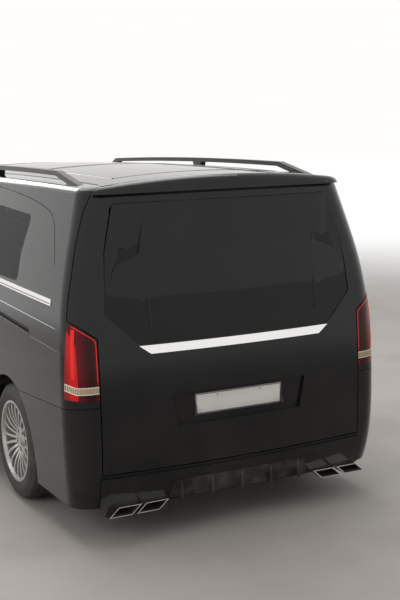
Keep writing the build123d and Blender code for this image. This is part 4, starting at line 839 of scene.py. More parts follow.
@dataclass
class Studio:
    """The floor, the white surround, the soft lamps and the camera."""

    floor_half: float = 40.0
    floor_finish: StudioFloor = StudioFloor("pale studio floor", (0.35, 0.325, 0.305), gloss=0.62)
    fill: float = 0.62
    camera_place: Place = (-7.6795, 2.9045, 2.186)
    camera_yaw: float = -0.4793
    camera_pitch: float = -0.162
    camera_roll: float = -0.0187
    focal_pixels: float = 1135.96
    frame_pixels: float = 600.0
    lamps: tuple[SoftLamp, ...] = (
        SoftLamp("overhead lamp", (0.5, 0.0, 6.5), 6.0, 330.0),
        SoftLamp("left lamp", (-4.5, 7.5, 4.5), 4.0, 220.0, mirrored_in_paint=False),
        SoftLamp("front lamp", (8.5, 1.0, 5.3), 4.0, 220.0),
    )

    def build(self) -> None:
        """Build everything that isn't part of the vehicle."""
        self.lay_floor()
        self.surround()
        for lamp in self.lamps:
            lamp.build()
        self.set_camera()

    def lay_floor(self) -> None:
        """A wide flat floor, its outer part cut finer."""
        half = self.floor_half
        floor = box("studio_floor", (-half, -half, -0.3), (half, half, 0.0))
        with editing(floor, lambda centre, normal: normal.z > 0.5):
            bpy.ops.mesh.inset(thickness=half * 0.25, depth=0.0)
        with editing(floor, lambda centre, normal: normal.z > 0.5 and max(abs(centre.x), abs(centre.y)) > half * 0.5):
            bpy.ops.mesh.subdivide(number_cuts=3)
        self.floor_finish.dress(floor)

    def surround(self) -> None:
        """A white surround to the eye, with plain fill light."""
        world = bpy.data.worlds.new("white surround")
        bpy.context.scene.world = world
        world.use_nodes = True
        wiring = Wiring(world.node_tree)
        path = wiring.node("LightPath")
        seen = wiring.maths("MAXIMUM", path.outputs["Is Camera Ray"], path.outputs["Is Glossy Ray"])
        seen = wiring.maths("MAXIMUM", seen, path.outputs["Is Transmission Ray"])
        background = world.node_tree.nodes["Background"]
        background.inputs["Color"].default_value = (1.0, 0.99, 0.975, 1)
        wiring.feed(background.inputs["Strength"], wiring.ramp(seen, self.fill, 1.0))

    def set_camera(self) -> None:
        """Place the camera where the photograph was taken from."""
        yaw, pitch, roll = self.camera_yaw, self.camera_pitch, self.camera_roll
        forward = Vector((math.cos(yaw) * math.cos(pitch), math.sin(yaw) * math.cos(pitch), math.sin(pitch)))
        right = forward.cross(Vector((0, 0, 1))).normalized()
        up = right.cross(forward)
        turned_right = math.cos(roll) * right + math.sin(roll) * up
        turned_up = math.cos(roll) * up - math.sin(roll) * right
        clear_selection()
        bpy.ops.object.camera_add(location=self.camera_place)
        camera = bpy.context.object
        camera.name = "studio camera"
        camera.data.sensor_fit = "VERTICAL"
        camera.data.sensor_height = 36.0
        camera.data.lens = 36.0 * self.focal_pixels / self.frame_pixels
        camera.rotation_euler = Matrix((turned_right, turned_up, -forward)).transposed().to_euler()
        bpy.context.scene.camera = camera


# The vehicle's sub-assemblies


def rider(body: str, finish: Finish, *pieces: bpy.types.Object, slot: str = "") -> None:
    """Dress pieces and set them on a CAD body.

    Args:
        body: the body that carries them.
        finish: the finish that they get.
        pieces: the pieces.
        slot: the record's material slot, if the finish stands for one; not used.
    """
    for piece in pieces:
        finish.dress(piece)
        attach(piece, body)


def strip_of(name: str, rows: Sequence[Sequence[Place]]) -> bpy.types.Object:
    """A strip from rows of points, all rows with as many points."""
    clear_selection()
    wide, high = len(rows[0]), len(rows)
    bpy.ops.mesh.primitive_grid_add(x_subdivisions=wide - 1, y_subdivisions=high - 1, size=1)
    piece = newest(name)
    points = [point for row in rows for point in row]
    for vertex, point in zip(piece.data.vertices, points):
        vertex.co = point
    return piece


class Face(Enum):
    """A face of the vehicle: its axis, the way out, and where rays to it start."""

    LEFT = (1, 1.0, 1.3)
    REAR = (0, -1.0, -2.9)
    FRONT = (0, 1.0, 3.0)
    TOP = (2, 1.0, 2.3)

    def foot(self, skin: Skin, first: float, second: float) -> Vector:
        """The skin's outermost point at or beside two coordinates across this face's axis, so no gap lets it through."""
        axis, out, start = self.value
        ray = Vector([-out if index == axis else 0.0 for index in range(3)])
        heights = []
        for step in (0.0, 0.0011, -0.0011, 0.0045, -0.0045):
            place = [first + step, second + step * 0.8]
            place.insert(axis, start)
            found, point, _, _ = skin.shape.ray_cast(Vector(place), ray)
            if found and (abs(step) < 0.002 or not heights):
                heights.append(point[axis] * out)
        place = [first, second]
        place.insert(axis, out * max(heights))
        return Vector(place)

    def lay(self, piece: bpy.types.Object, skin: Skin, lift: float, soften: bool = True) -> bpy.types.Object:
        """Set every point of an open piece a little above the skin, and even out small steps."""
        axis, out, _ = self.value
        first, second = (index for index in range(3) if index != axis)
        for vertex in piece.data.vertices:
            foot = self.foot(skin, vertex.co[first], vertex.co[second])
            vertex.co[axis] = foot[axis] + out * lift
        if soften:
            with editing(piece):
                bpy.ops.mesh.vertices_smooth(factor=0.5, repeat=4, xaxis=axis == 0, yaxis=axis == 1, zaxis=axis == 2)
        return self.turned(piece)

    def turned(self, piece: bpy.types.Object) -> bpy.types.Object:
        """Turn an open piece's faces so that they look the way out."""
        axis, out, _ = self.value
        if sum(face.normal[axis] for face in piece.data.polygons) * out < 0:
            piece.data.flip_normals()
        return piece


BEAD = ((-1.0, -0.0005), (-0.5, 0.8), (0.0, 1.0), (0.5, 0.8), (1.0, -0.0005))
SOFT_BEAD = ((-1.0, -0.0006), (-0.6, 0.35), (-0.2, 0.95), (0.2, 0.95), (0.6, 0.35), (1.0, -0.0006))
FLAT_BAND = ((-1.0, 1.0), (1.0, 1.0))


def fine(line: Sequence[Point], step: float) -> list[Point]:
    """The line with points added, so that none lie further apart than a step."""
    points = []
    for (a0, b0), (a1, b1) in zip(line, line[1:]):
        parts = max(2, math.ceil(math.hypot(a1 - a0, b1 - b0) / step))
        points += [(a0 + (a1 - a0) * k / parts, b0 + (b1 - b0) * k / parts) for k in range(parts)]
    return [*points, line[-1]]


def moulding(name: str, line: Sequence[Point], half: float, rise: float, face: Face, skin: Skin,
             section: Sequence[Point] = BEAD, taper: int = 0) -> bpy.types.Object:
    """A low strip that follows a line on the skin.

    Args:
        name: the piece's name.
        line: its middle, in the two coordinates across the face's axis.
        half: half its width.
        rise: its height.
        face: the face of the vehicle that it lies on.
        skin: what it lies on.
        section: shares of the half width, with a share of the rise or, below nought, a depth.
        taper: how many points at each end it dies away over.
    """
    axis, out, _ = face.value
    rows = []
    for share, lift in section:
        row = []
        for index, (a, b) in enumerate(line):
            a0, b0 = line[max(0, index - 1)]
            a1, b1 = line[min(len(line) - 1, index + 1)]
            length = math.hypot(a1 - a0, b1 - b0)
            foot = face.foot(skin, a - (b1 - b0) / length * half * share, b + (a1 - a0) / length * half * share)
            fade = min(1.0, index / taper, (len(line) - 1 - index) / taper) if taper else 1.0
            foot[axis] += out * (lift * rise * fade if lift > 0 else lift)
            row.append(tuple(foot))
        rows.append(row)
    return smooth(face.turned(strip_of(name, rows)), 1.2)


@dataclass
class BodyDressing:
    """The finishes of the carried-over CAD nodes."""

    by_slot: dict[str, Finish] = field(default_factory=lambda: {
        "black_paint": BLACK_PAINT, "black_plastic": GRAINED_BLACK, "dark_glass": DARK_GLASS, "clear_glass": CLEAR_GLASS,
        "lamp_red": TAIL_LENS, "lamp_clear": CLEAR_LENS, "bright_trim": CHROME, "alloy": CAST_METAL, "tyre": GRAINED_BLACK,
        "underbody": UNDERBODY, "cast_metal": CAST_METAL, "steel_pipe": SATIN_STEEL, "seat_fabric": SEAT_CLOTH,
        "cabin_plastic": CABIN_PLASTIC, "plate_white": PLATE_WHITE, "satin_rail": SATIN_RAIL,
    })
    by_node: dict[str, Finish] = field(default_factory=lambda: {
        "roof_panel": ROOF_BLACK, "front_quarter_glass": SIDE_GLASS, "front_door_glass_left": SIDE_GLASS,
        "front_door_glass_right": SIDE_GLASS, "grille": PIANO_BLACK,
    })

    def build(self) -> None:
        """Dress each CAD node by its own finish, or else by its slot's."""
        for part in frame["record"]["subparts"]:
            finish = self.by_node.get(part["node"], self.by_slot[part["material_slot"]])
            finish.dress(frame["nodes"][part["node"]])


@dataclass
class SideCreases:
    """The pressed lines of the body sides, the lining of the sliding doors' rails, a painted shade line along the roof
    contour and a painted shade band on the belt trim.
    """

    shoulder: tuple[Point, ...] = ((1.10, 1.151), (0.35, 1.159), (-0.40, 1.160), (-1.36, 1.149), (-1.95, 1.130), (-2.385, 1.114))
    runner_tail: tuple[Point, ...] = ((-1.925, 1.025), (-2.15, 1.016), (-2.39, 1.005))
    contour: tuple[Point, ...] = (
        (-1.04, 1.783), (-1.30, 1.769), (-1.53, 1.751), (-1.70, 1.734), (-1.83, 1.716), (-1.93, 1.697), (-2.00, 1.671),
        (-2.05, 1.632), (-2.09, 1.573), (-2.135, 1.500), (-2.175, 1.430),
    )
    rail_slot: tuple[Point, ...] = ((-1.000, 1.0985), (-1.895, 1.0525))
    rail_lip: tuple[Point, ...] = ((-0.990, 1.0838), (-1.905, 1.0365))
    belt_groove: tuple[Point, ...] = ((1.130, 1.2605), (-1.014, 1.2605), (-2.192, 1.2370))
    door_gaps: tuple[Point, ...] = ((1.21, 0.345), (0.322, -0.995), (-1.022, -2.6))
    rise: float = 0.0036
    half_width: float = 0.0045

    def build(self, skin: Skin) -> None:
        """Lay the beads on the left, and mirror them."""
        for name, line, half, rise, finish in (
            ("shoulder_crease", self.shoulder, self.half_width, self.rise, BLACK_PAINT),
            ("runner_crease", self.runner_tail, self.half_width, self.rise, BLACK_PAINT),
            # The contour line is a dull black strip: painted shade standing in for the groove pressed along it.
            ("roof_contour_line", self.contour, 0.0040, 0.0008, PRINT_AND_SHADE_BLACK),
            ("rail_lip", self.rail_lip, 0.0032, 0.0016, BLACK_PAINT),
        ):
            for index, span in enumerate(self.spans(line)):
                piece = moulding(f"{name}_left_{index}", span, half, rise, Face.LEFT, skin, SOFT_BEAD, taper=3)
                self.mount(piece, span, finish)
        liner = moulding("rail_slot_liner_left", fine(self.rail_slot, 0.05), 0.0098, 0.0012, Face.LEFT, skin, FLAT_BAND)
        rider("body", SEAL_AND_SHADE_BLACK, liner, mirrored(liner, "rail_slot_liner_right"))
        trims = Skin(["belt_trim", "front_door_trim_left"])
        # The strip laid along the belt trim is painted shade across its rounded section.
        for index, span in enumerate(self.spans(self.belt_groove)):
            groove = moulding(f"belt_groove_left_{index}", span, 0.0030, 0.0006, Face.LEFT, trims, FLAT_BAND)
            self.mount(groove, span, BELT_SHADE)
        trims.remove()

    def mount(self, piece: bpy.types.Object, span: Sequence[Point], finish: Finish) -> None:
        """Set a left piece and its mirror image on the doors or the body."""
        twin = mirrored(piece, piece.name.replace("_left", "_right"))
        front = span[0][0] > 0.29
        rider("front_door_left" if front else "body", finish, piece)
        rider("front_door_right" if front else "body", finish, twin)

    def spans(self, line: Sequence[Point]) -> list[list[Point]]:
        """Divide a line finely, and cut it at the door gaps."""
        points = fine(line, 0.03)
        pieces = [[point for point in points if low < point[0] < high] for high, low in self.door_gaps]
        return [piece for piece in pieces if len(piece) > 2]


@dataclass
class GlassBorder:
    """The black ceramic border printed on one pane."""

    name: str
    body: str
    outer: tuple[Point, ...]
    inner: tuple[Point, ...]
    corner: float = 0.038
    inner_corner: float = 0.05
    lift: float = 0.0014
    cuts: int = 4

    def build(self, skin: Skin) -> None:
        """Lay the border on the left pane, and mirror it."""
        outer = rounded_loop(self.outer, self.corner, run_steps=20)
        inner = rounded_loop(self.inner, self.inner_corner, run_steps=20)
        band = band_between(f"{self.name}_left", [(x, 1.2, z) for x, z in outer], [(x, 1.2, z) for x, z in inner], self.cuts)
        Face.LEFT.lay(band, skin, self.lift)
        twin = mirrored(band, f"{self.name}_right")
        rider(f"{self.body}_left" if self.body != "body" else "body", PRINT_AND_SHADE_BLACK, band)
        rider(f"{self.body}_right" if self.body != "body" else "body", PRINT_AND_SHADE_BLACK, twin)


@dataclass
class RearWindow:
    """What the tailgate's glass carries: border, heater wires and the high brake lamp."""

    half_outline: tuple[Point, ...] = ((0.572, 1.038), (0.738, 1.200), (0.712, 1.510), (0.648, 1.746))
    half_clear: tuple[Point, ...] = ((0.500, 1.085), (0.520, 1.200), (0.515, 1.510), (0.505, 1.665))
    wires: int = 15
    wire_z: tuple[float, float] = (1.125, 1.64)
    wire_half: float = 0.50
    lamp_half: float = 0.225
    lamp_z: float = 1.735

    def build(self, skin: Skin) -> None:
        """Lay all of it on the tailgate's glass."""
        self.lay_border(skin)
        self.draw_wires(skin)
        lamp = self.level("high_brake_lamp", self.lamp_z, self.lamp_half, 0.010, 0.0024, skin, BEAD)
        rider("tailgate", RED_LENS, lamp)

    def both_halves(self, half: Sequence[Point]) -> list[Point]:
        """A whole outline from its left half."""
        return [*half, *((-y, z) for y, z in reversed(half))]

    def lay_border(self, skin: Skin) -> None:
        """The wide black border, which hides the frame behind the glass."""
        outer = rounded_loop(self.both_halves(self.half_outline), 0.03, run_steps=24)
        inner = rounded_loop(self.both_halves(self.half_clear), 0.06, run_steps=24)
        band = band_between("rear_glass_border", [(-2.8, y, z) for y, z in outer], [(-2.8, y, z) for y, z in inner], 9)
        rider("tailgate", PIANO_BLACK, smooth(Face.REAR.lay(band, skin, 0.0018), 0.8))

    def draw_wires(self, skin: Skin) -> None:
        """Thin heater wires across the clear part, joined by a bus strip at each side."""
        low, high = self.wire_z
        heights = [low + (high - low) * index / (self.wires - 1) for index in range(self.wires)]
        strips = [self.level("wire", z, self.wire_half, 0.0005, 0.0021, skin) for z in heights]
        for side in Side:
            line = fine(((side.value * self.wire_half, low - 0.01), (side.value * self.wire_half, high + 0.01)), 0.05)
            strips.append(moulding("bus", line, 0.003, 0.0021, Face.REAR, skin, FLAT_BAND))
        rider("tailgate", Metal("heater wire", (0.022, 0.016, 0.013), gloss=0.6, metal=0.3), joined("rear_glass_heater", strips))

    def level(self, name: str, z: float, reach: float, half: float, rise: float, skin: Skin,
              section: Sequence[Point] = FLAT_BAND) -> bpy.types.Object:
        """A level strip across the tailgate."""
        return moulding(name, fine(((reach, z), (-reach, z)), 0.05), half, rise, Face.REAR, skin, section)


@dataclass
class TailLampDetail:
    """Light guides and the bright edge strip on the tail lamps."""

    guide: tuple[Point, ...] = ((0.914, 0.885), (0.911, 0.980), (0.907, 1.060), (0.900, 1.135))
    edge: tuple[Point, ...] = ((0.797, 0.862), (0.797, 1.060), (0.801, 1.074), (0.812, 1.084), (0.880, 1.133), (0.905, 1.151))

    def build(self, skin: Skin) -> None:
        """Build the left lamp's details, and mirror them."""
        guide = moulding("tail_light_guide_left", fine(self.guide, 0.012), 0.007, 0.0016, Face.REAR, skin)
        edge = moulding("tail_lamp_edge_left", fine(self.edge, 0.012), 0.0025, 0.0015, Face.REAR, skin)
        for piece, finish in ((guide, BRIGHT_LENS), (edge, BRIGHT_LENS)):
            rider("body", finish, piece, mirrored(piece, piece.name.replace("_left", "_right")), slot="lamp_red")


@dataclass
class DoorHandle:
    """A pull handle, with a flat dull black patch behind it as painted shade of its hollow."""

    name: str
    body: str
    x: float
    z: float
    length: float = 0.225
    height: float = 0.034

    def build(self, skin: Skin) -> None:
        """Build the left handle, and mirror it."""
        ends = [self.x - self.length / 2, self.x + self.length / 2]
        surface = [skin.height_at((x, 1.3, self.z), (0, -1, 0)).y for x in (ends[0] + 0.02, self.x, ends[1] - 0.02)]
        bar = self.bar(ends, max(surface))
        feet = [
            box("foot", (x - 0.016, y - 0.004, self.z - 0.012), (x + 0.016, max(surface) + 0.020, self.z + 0.012), 0.003)
            for x, y in ((ends[0] + 0.028, surface[0]), (ends[1] - 0.022, surface[2]))
        ]
        handle = smooth(joined(f"{self.name}_left", [bar, *feet]))
        cup = self.cup(skin)
        insert = box(f"{self.name}_insert_left", (ends[0] + 0.02, max(surface) + 0.0325, self.z - 0.004),
                     (ends[1] - 0.02, max(surface) + 0.0365, self.z + 0.004), 0.0015)
        sides = (("left", handle, cup, insert), ("right", mirrored(handle, f"{self.name}_right"),
                 mirrored(cup, f"{self.name}_cup_right"), mirrored(insert, f"{self.name}_insert_right")))
        for word, grip, painted_hollow_shade, bright in sides:
            body = "body" if self.body == "body" else f"{self.body}_{word}"
            rider(body, BLACK_PAINT, grip)
            # The dull black patch is painted shade of the hollow behind the grip.
            rider(body, SEAL_AND_SHADE_BLACK, painted_hollow_shade)
            rider(body, CHROME, bright)

    def bar(self, ends: Sequence[float], y: float) -> bpy.types.Object:
        """The grip: a bar with rounded, tapering ends."""
        low = (ends[0], y + 0.018, self.z - self.height / 2)
        high = (ends[1], y + 0.034, self.z + self.height / 2)
        grip = box("grip", low, high)
        with editing(grip):
            bpy.ops.mesh.subdivide(number_cuts=2)
        for vertex in grip.data.vertices:
            share = abs(vertex.co.x - self.x) / (self.length / 2)
            vertex.co.z = self.z + (vertex.co.z - self.z) * (1 - 0.28 * share**2)
            vertex.co.y -= 0.006 * share**2
        return rounded_edges(grip, 0.006, 3)

    def cup(self, skin: Skin) -> bpy.types.Object:
        """A flat dull black oval laid on the door behind the grip: painted shade where the handle's hollow is."""
        rows = []
        for ring in (1.0, 0.82, 0.55, 0.0):
            row = []
            for k in range(33):
                angle = 2 * math.pi * k / 32
                x = self.x + 0.062 * ring * math.cos(angle)
                z = self.z + 0.030 * ring * math.sin(angle)
                foot = skin.height_at((x, 1.3, z), (0, -1, 0))
                row.append((foot.x, foot.y + 0.0009, foot.z))
            rows.append(row)
        return Face.LEFT.turned(face_out(strip_of(f"{self.name}_cup_left", rows)))


@dataclass
class DoorMirror:
    """The glass and the rim of a door mirror."""

    glass_x: float = 1.062
    glass_y: tuple[float, float] = (0.965, 1.132)
    glass_z: tuple[float, float] = (1.218, 1.376)
    centre: Place = (1.130, 1.046, 1.296)

    def build(self) -> None:
        """Build the left mirror's details, and mirror them."""
        low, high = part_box("door_mirror_left")
        corners = [(self.glass_y[0], self.glass_z[0]), (self.glass_y[1], self.glass_z[0]), (self.glass_y[1], self.glass_z[1]), (self.glass_y[0], self.glass_z[1])]
        node = frame["nodes"]["door_mirror_left"]
        depth = []
        for y, z in corners:
            found, point, _, _ = node.ray_cast(Vector((low.x - 0.2, y, z)), Vector((1, 0, 0)))
            depth.append(point.x if found else high.x)
        _, front, _, _ = node.ray_cast(Vector((low.x - 0.2, self.centre[1], self.centre[2])), Vector((1, 0, 0)))
        outline = rounded_loop([(y, z) for y, z in corners], 0.04)
        back = front.x - 0.0015
        glass = sheet_of("mirror_glass_left", [(back, y, z) for y, z in outline])
        glass = extruded(glass, (0.004, 0, 0))
        rim = band_between("mirror_rim_left", [(back - 0.0012, y, z) for y, z in rounded_loop([(y + (0.006 if y > 1.05 else -0.006), z + (0.006 if z > 1.3 else -0.006)) for y, z in corners], 0.045)],
                           [(back - 0.0012, y, z) for y, z in outline])
        rim = finish_with(rim, "SOLIDIFY", thickness=0.006, offset=-1.0)
        for side in Side:
            for piece, finish in ((glass, Metal("mirror glass", (0.86, 0.88, 0.88), gloss=0.02, metal=1.0, ripple=0.0, dust=0.05)), (rim, GRAINED_BLACK)):
                target = piece if side is Side.LEFT else mirrored(piece, piece.name.replace("_left", "_right"))
                rider(f"front_door_{side.word}", finish, target)


@dataclass
class RoadWheel:
    """The tyre, bolts and cap of one wheel."""

    axle: Axle
    side: Side
    tyre_radius: float = 0.339
    tyre_half: float = 0.1215
    rim_radius: float = 0.2325
    bolt_circle: float = 0.056
    bolt_count: int = 5

    @property
    def centre(self) -> Place:
        """The wheel's middle."""
        x, half_track = self.axle.value
        return (x, self.side.value * half_track, WHEEL_HEIGHT)

    @property
    def body(self) -> str:
        """The CAD body that the wheel's pieces ride on."""
        return f"{self.axle.word}_wheel_{self.side.word}"

    @property
    def tag(self) -> str:
        """The wheel's name in its pieces' names."""
        return f"{self.axle.word}_{self.side.word}"

    def build(self) -> None:
        """Build and dress all of it."""
        alloy = AlloyWheel(f"silver alloy {self.tag}", (0.60, 0.585, 0.565), gloss=0.27, metal=0.75, centre=self.centre)
        alloy.dress(frame["nodes"][self.body])
        self.fit_tyre()
        self.fit_bolts()

    def profile(self) -> list[Point]:
        """Half the tyre's section: distance from the axle, and across from its middle."""
        r, w, rim = self.tyre_radius, self.tyre_half, self.rim_radius
        side = [
            (rim + 0.001, w - 0.016), (rim + 0.004, w - 0.0085), (rim + 0.012, w - 0.0055), (rim + 0.016, w - 0.0065),
            (rim + 0.026, w - 0.003), (rim + 0.040, w), (rim + 0.043, w - 0.0012), (rim + 0.046, w), (rim + 0.060, w - 0.0015),
            (rim + 0.072, w - 0.0065), (rim + 0.080, w - 0.011), (rim + 0.083, w - 0.0125), (rim + 0.090, w - 0.0175), (r - 0.0085, w - 0.024),
            (r - 0.006, w - 0.030),
        ]
        tread = []
        for groove in (0.060, 0.022):
            crown = r - 0.0045 * (groove / w) ** 2
            tread += [(crown, groove + 0.006), (crown - 0.0065, groove + 0.0045), (crown - 0.0065, groove - 0.0045), (crown, groove - 0.006)]
        return [*side, *tread, (r, 0.0)]

    def fit_tyre(self) -> None:
        """Spin the section round the axle, and let it stand for the CAD tyre."""
        half = self.profile()
        section = [*half, *((radius, -across) for radius, across in reversed(half[:-1]))]
        x, y, z = self.centre
        clear_selection()
        bpy.ops.mesh.primitive_circle_add(vertices=len(section), radius=1, fill_type="NOTHING")
        tyre = newest(f"tyre_{self.tag}")
        for vertex, (radius, across) in zip(tyre.data.vertices, section):
            vertex.co = (x, y + across, z + radius)
        pick(tyre)
        bpy.ops.object.mode_set(mode="EDIT")
        bpy.ops.mesh.select_all(action="SELECT")
        bpy.ops.mesh.spin(steps=120, angle=2 * math.pi, center=self.centre, axis=(0, 1, 0))
        bpy.ops.object.mode_set(mode="OBJECT")
        smooth(face_out(tyre), 0.7)
        rider(self.body, Rubber(f"tyre rubber {self.tag}", (0.016, 0.016, 0.0165), gloss=0.62, centre=self.centre), tyre, slot="tyre")
        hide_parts(f"{self.axle.word}_tyre_{self.side.word}")

    def fit_bolts(self) -> None:
        """Five bolts with washers, and the plain cap."""
        x, y, z = self.centre
        out = self.side.value
        low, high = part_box(self.body)
        face = self.hub_face()
        pieces = []
        for index in range(self.bolt_count):
            angle = 2 * math.pi * index / self.bolt_count + math.pi / 2
            at = (x + self.bolt_circle * math.cos(angle), face - out * 0.012, z + self.bolt_circle * math.sin(angle))
            head = drum("bolt", at, (0, out, 0), 0.0095, 0.016, 6)
            with editing(head, lambda centre, normal: normal.y * out > 0.9):
                bpy.ops.mesh.inset(thickness=0.003, depth=0.0015)
            ring = drum("washer", (at[0], at[1] - out * 0.006, at[2]), (0, out, 0), 0.0122, 0.006, 24)
            pieces += [rounded_edges(head, 0.0008, 1), rounded_edges(ring, 0.0008, 1)]
        rider(self.body, BOLT_STEEL, joined(f"wheel_bolts_{self.tag}", pieces))
        cap = drum(f"wheel_cap_{self.tag}", (x, face - out * 0.0005, z), (0, out, 0), 0.0325, 0.012, 48)
        with editing(cap, lambda centre, normal: normal.y * out > 0.9):
            bpy.ops.mesh.inset(thickness=0.004, depth=0.0)
            bpy.ops.mesh.inset(thickness=0.001, depth=-0.0018)
            bpy.ops.mesh.inset(thickness=0.012, depth=0.0016)
        rider(self.body, Metal("silver wheel cap", (0.50, 0.49, 0.48), gloss=0.25, metal=0.8), smooth(rounded_edges(cap, 0.001, 2)))

    def hub_face(self) -> float:
        """Y of the hub pad's outer face, read from the CAD wheel."""
        x, y, z = self.centre
        out = self.side.value
        node = frame["nodes"][self.body]
        found, point, _, _ = node.ray_cast(Vector((x + 0.045, y + out * 0.3, z)), Vector((0, -out, 0)))
        return point.y if found else y + out * 0.05


@dataclass
class RearPlate:
    """The blank number plate's holder and screws."""

    half: float = 0.260
    z: tuple[float, float] = (0.629, 0.739)
    x: float = -2.523
    edge: float = 0.007

    def build(self) -> None:
        """Build all of it on the tailgate."""
        low, high = self.z
        inner = rounded_loop([(-self.half + 0.004, low + 0.004), (self.half - 0.004, low + 0.004), (self.half - 0.004, high - 0.004), (-self.half + 0.004, high - 0.004)], 0.006)
        outer = rounded_loop([(-self.half - self.edge, low - self.edge), (self.half + self.edge, low - self.edge),
                              (self.half + self.edge, high + self.edge), (-self.half - self.edge, high + self.edge)], 0.009)
        x = self.x - 0.0006
        border = band_between("plate_holder", [(x, y, z) for y, z in outer], [(x, y, z) for y, z in inner])
        border = finish_with(face_out(border), "SOLIDIFY", thickness=0.0045, offset=0.0)
        rider("tailgate", GRAINED_BLACK, smooth(rounded_edges(face_out(border), 0.0008, 2)))
        screws = []
        for y in (-0.13, 0.13):
            head = drum("screw", (self.x - 0.0008, y, high - 0.018), (-1, 0, 0), 0.005, 0.002, 20)
            with editing(head, lambda centre, normal: normal.x < -0.9):
                bpy.ops.mesh.inset(thickness=0.0015, depth=-0.0006)
            screws.append(rounded_edges(head, 0.0004, 1))
        rider("tailgate", BOLT_STEEL, joined("plate_screws", screws))


@dataclass
class TailpipeDetail:
    """The sooty sleeves in the four leaning tailpipe trims."""

    centres: tuple[float, ...] = (0.540, 0.695)
    middle_z: float = 0.190
    half: Point = (0.065, 0.025)
    lean: float = 0.057
    wall: float = 0.0046
    depth: Point = (-2.5585, -2.483)

    def build(self) -> None:
        """Line each trim with a dark sleeve and a closed end."""
        sleeves = []
        for y in self.centres:
            sleeve = extruded(sheet_of("sleeve", self.outline(y)), (self.depth[1] - self.depth[0], 0, 0))
            with editing(sleeve, lambda centre, normal: normal.x < -0.9):
                bpy.ops.mesh.inset(thickness=0.0008, depth=0.0)
                bpy.ops.mesh.inset(thickness=0.0004, depth=0.0)
                bpy.ops.transform.translate(value=(self.depth[1] - self.depth[0] - 0.001, 0, 0))
            sleeves += [sleeve, mirrored(sleeve, "sleeve")]
        rider("body", SOOT, joined("tailpipe_sleeves", sleeves))

    def outline(self, y: float) -> list[Place]:
        """A sleeve's leaning outline at its open end."""
        wide, high = self.half[0] - self.wall * 1.6, self.half[1] - self.wall
        shift = self.lean * high / self.half[1] / 2
        corners = [(y - wide + shift, self.middle_z - high), (y + wide + shift, self.middle_z - high),
                   (y + wide - shift, self.middle_z + high), (y - wide - shift, self.middle_z + high)]
        return [(self.depth[0], across, height) for across, height in rounded_loop(corners, 0.004, arc_steps=3, run_steps=2)]


@dataclass
class BumperSensor:
    """A round parking sensor, set flush in a bumper."""

    name: str
    place: tuple[float, float, float]
    direction: Place
    radius: float = 0.0105

    def build(self, skin: Skin) -> None:
        """The disc in its ring."""
        foot = skin.height_at(self.place, self.direction)
        ray = Vector(self.direction)
        found, _, normal, _ = skin.shape.ray_cast(Vector(self.place), ray)
        out = tuple(normal)
        centre = foot + Vector(out) * 0.0004
        disc = drum(self.name, tuple(centre), out, self.radius, 0.003, 28)
        with editing(disc, lambda middle, face_normal: face_normal.dot(Vector(out)) > 0.9):
            bpy.ops.mesh.inset(thickness=0.0018, depth=0.0)
            bpy.ops.mesh.inset(thickness=0.0006, depth=-0.0008)
        rider("body", PIANO_BLACK, smooth(rounded_edges(disc, 0.0004, 1)))


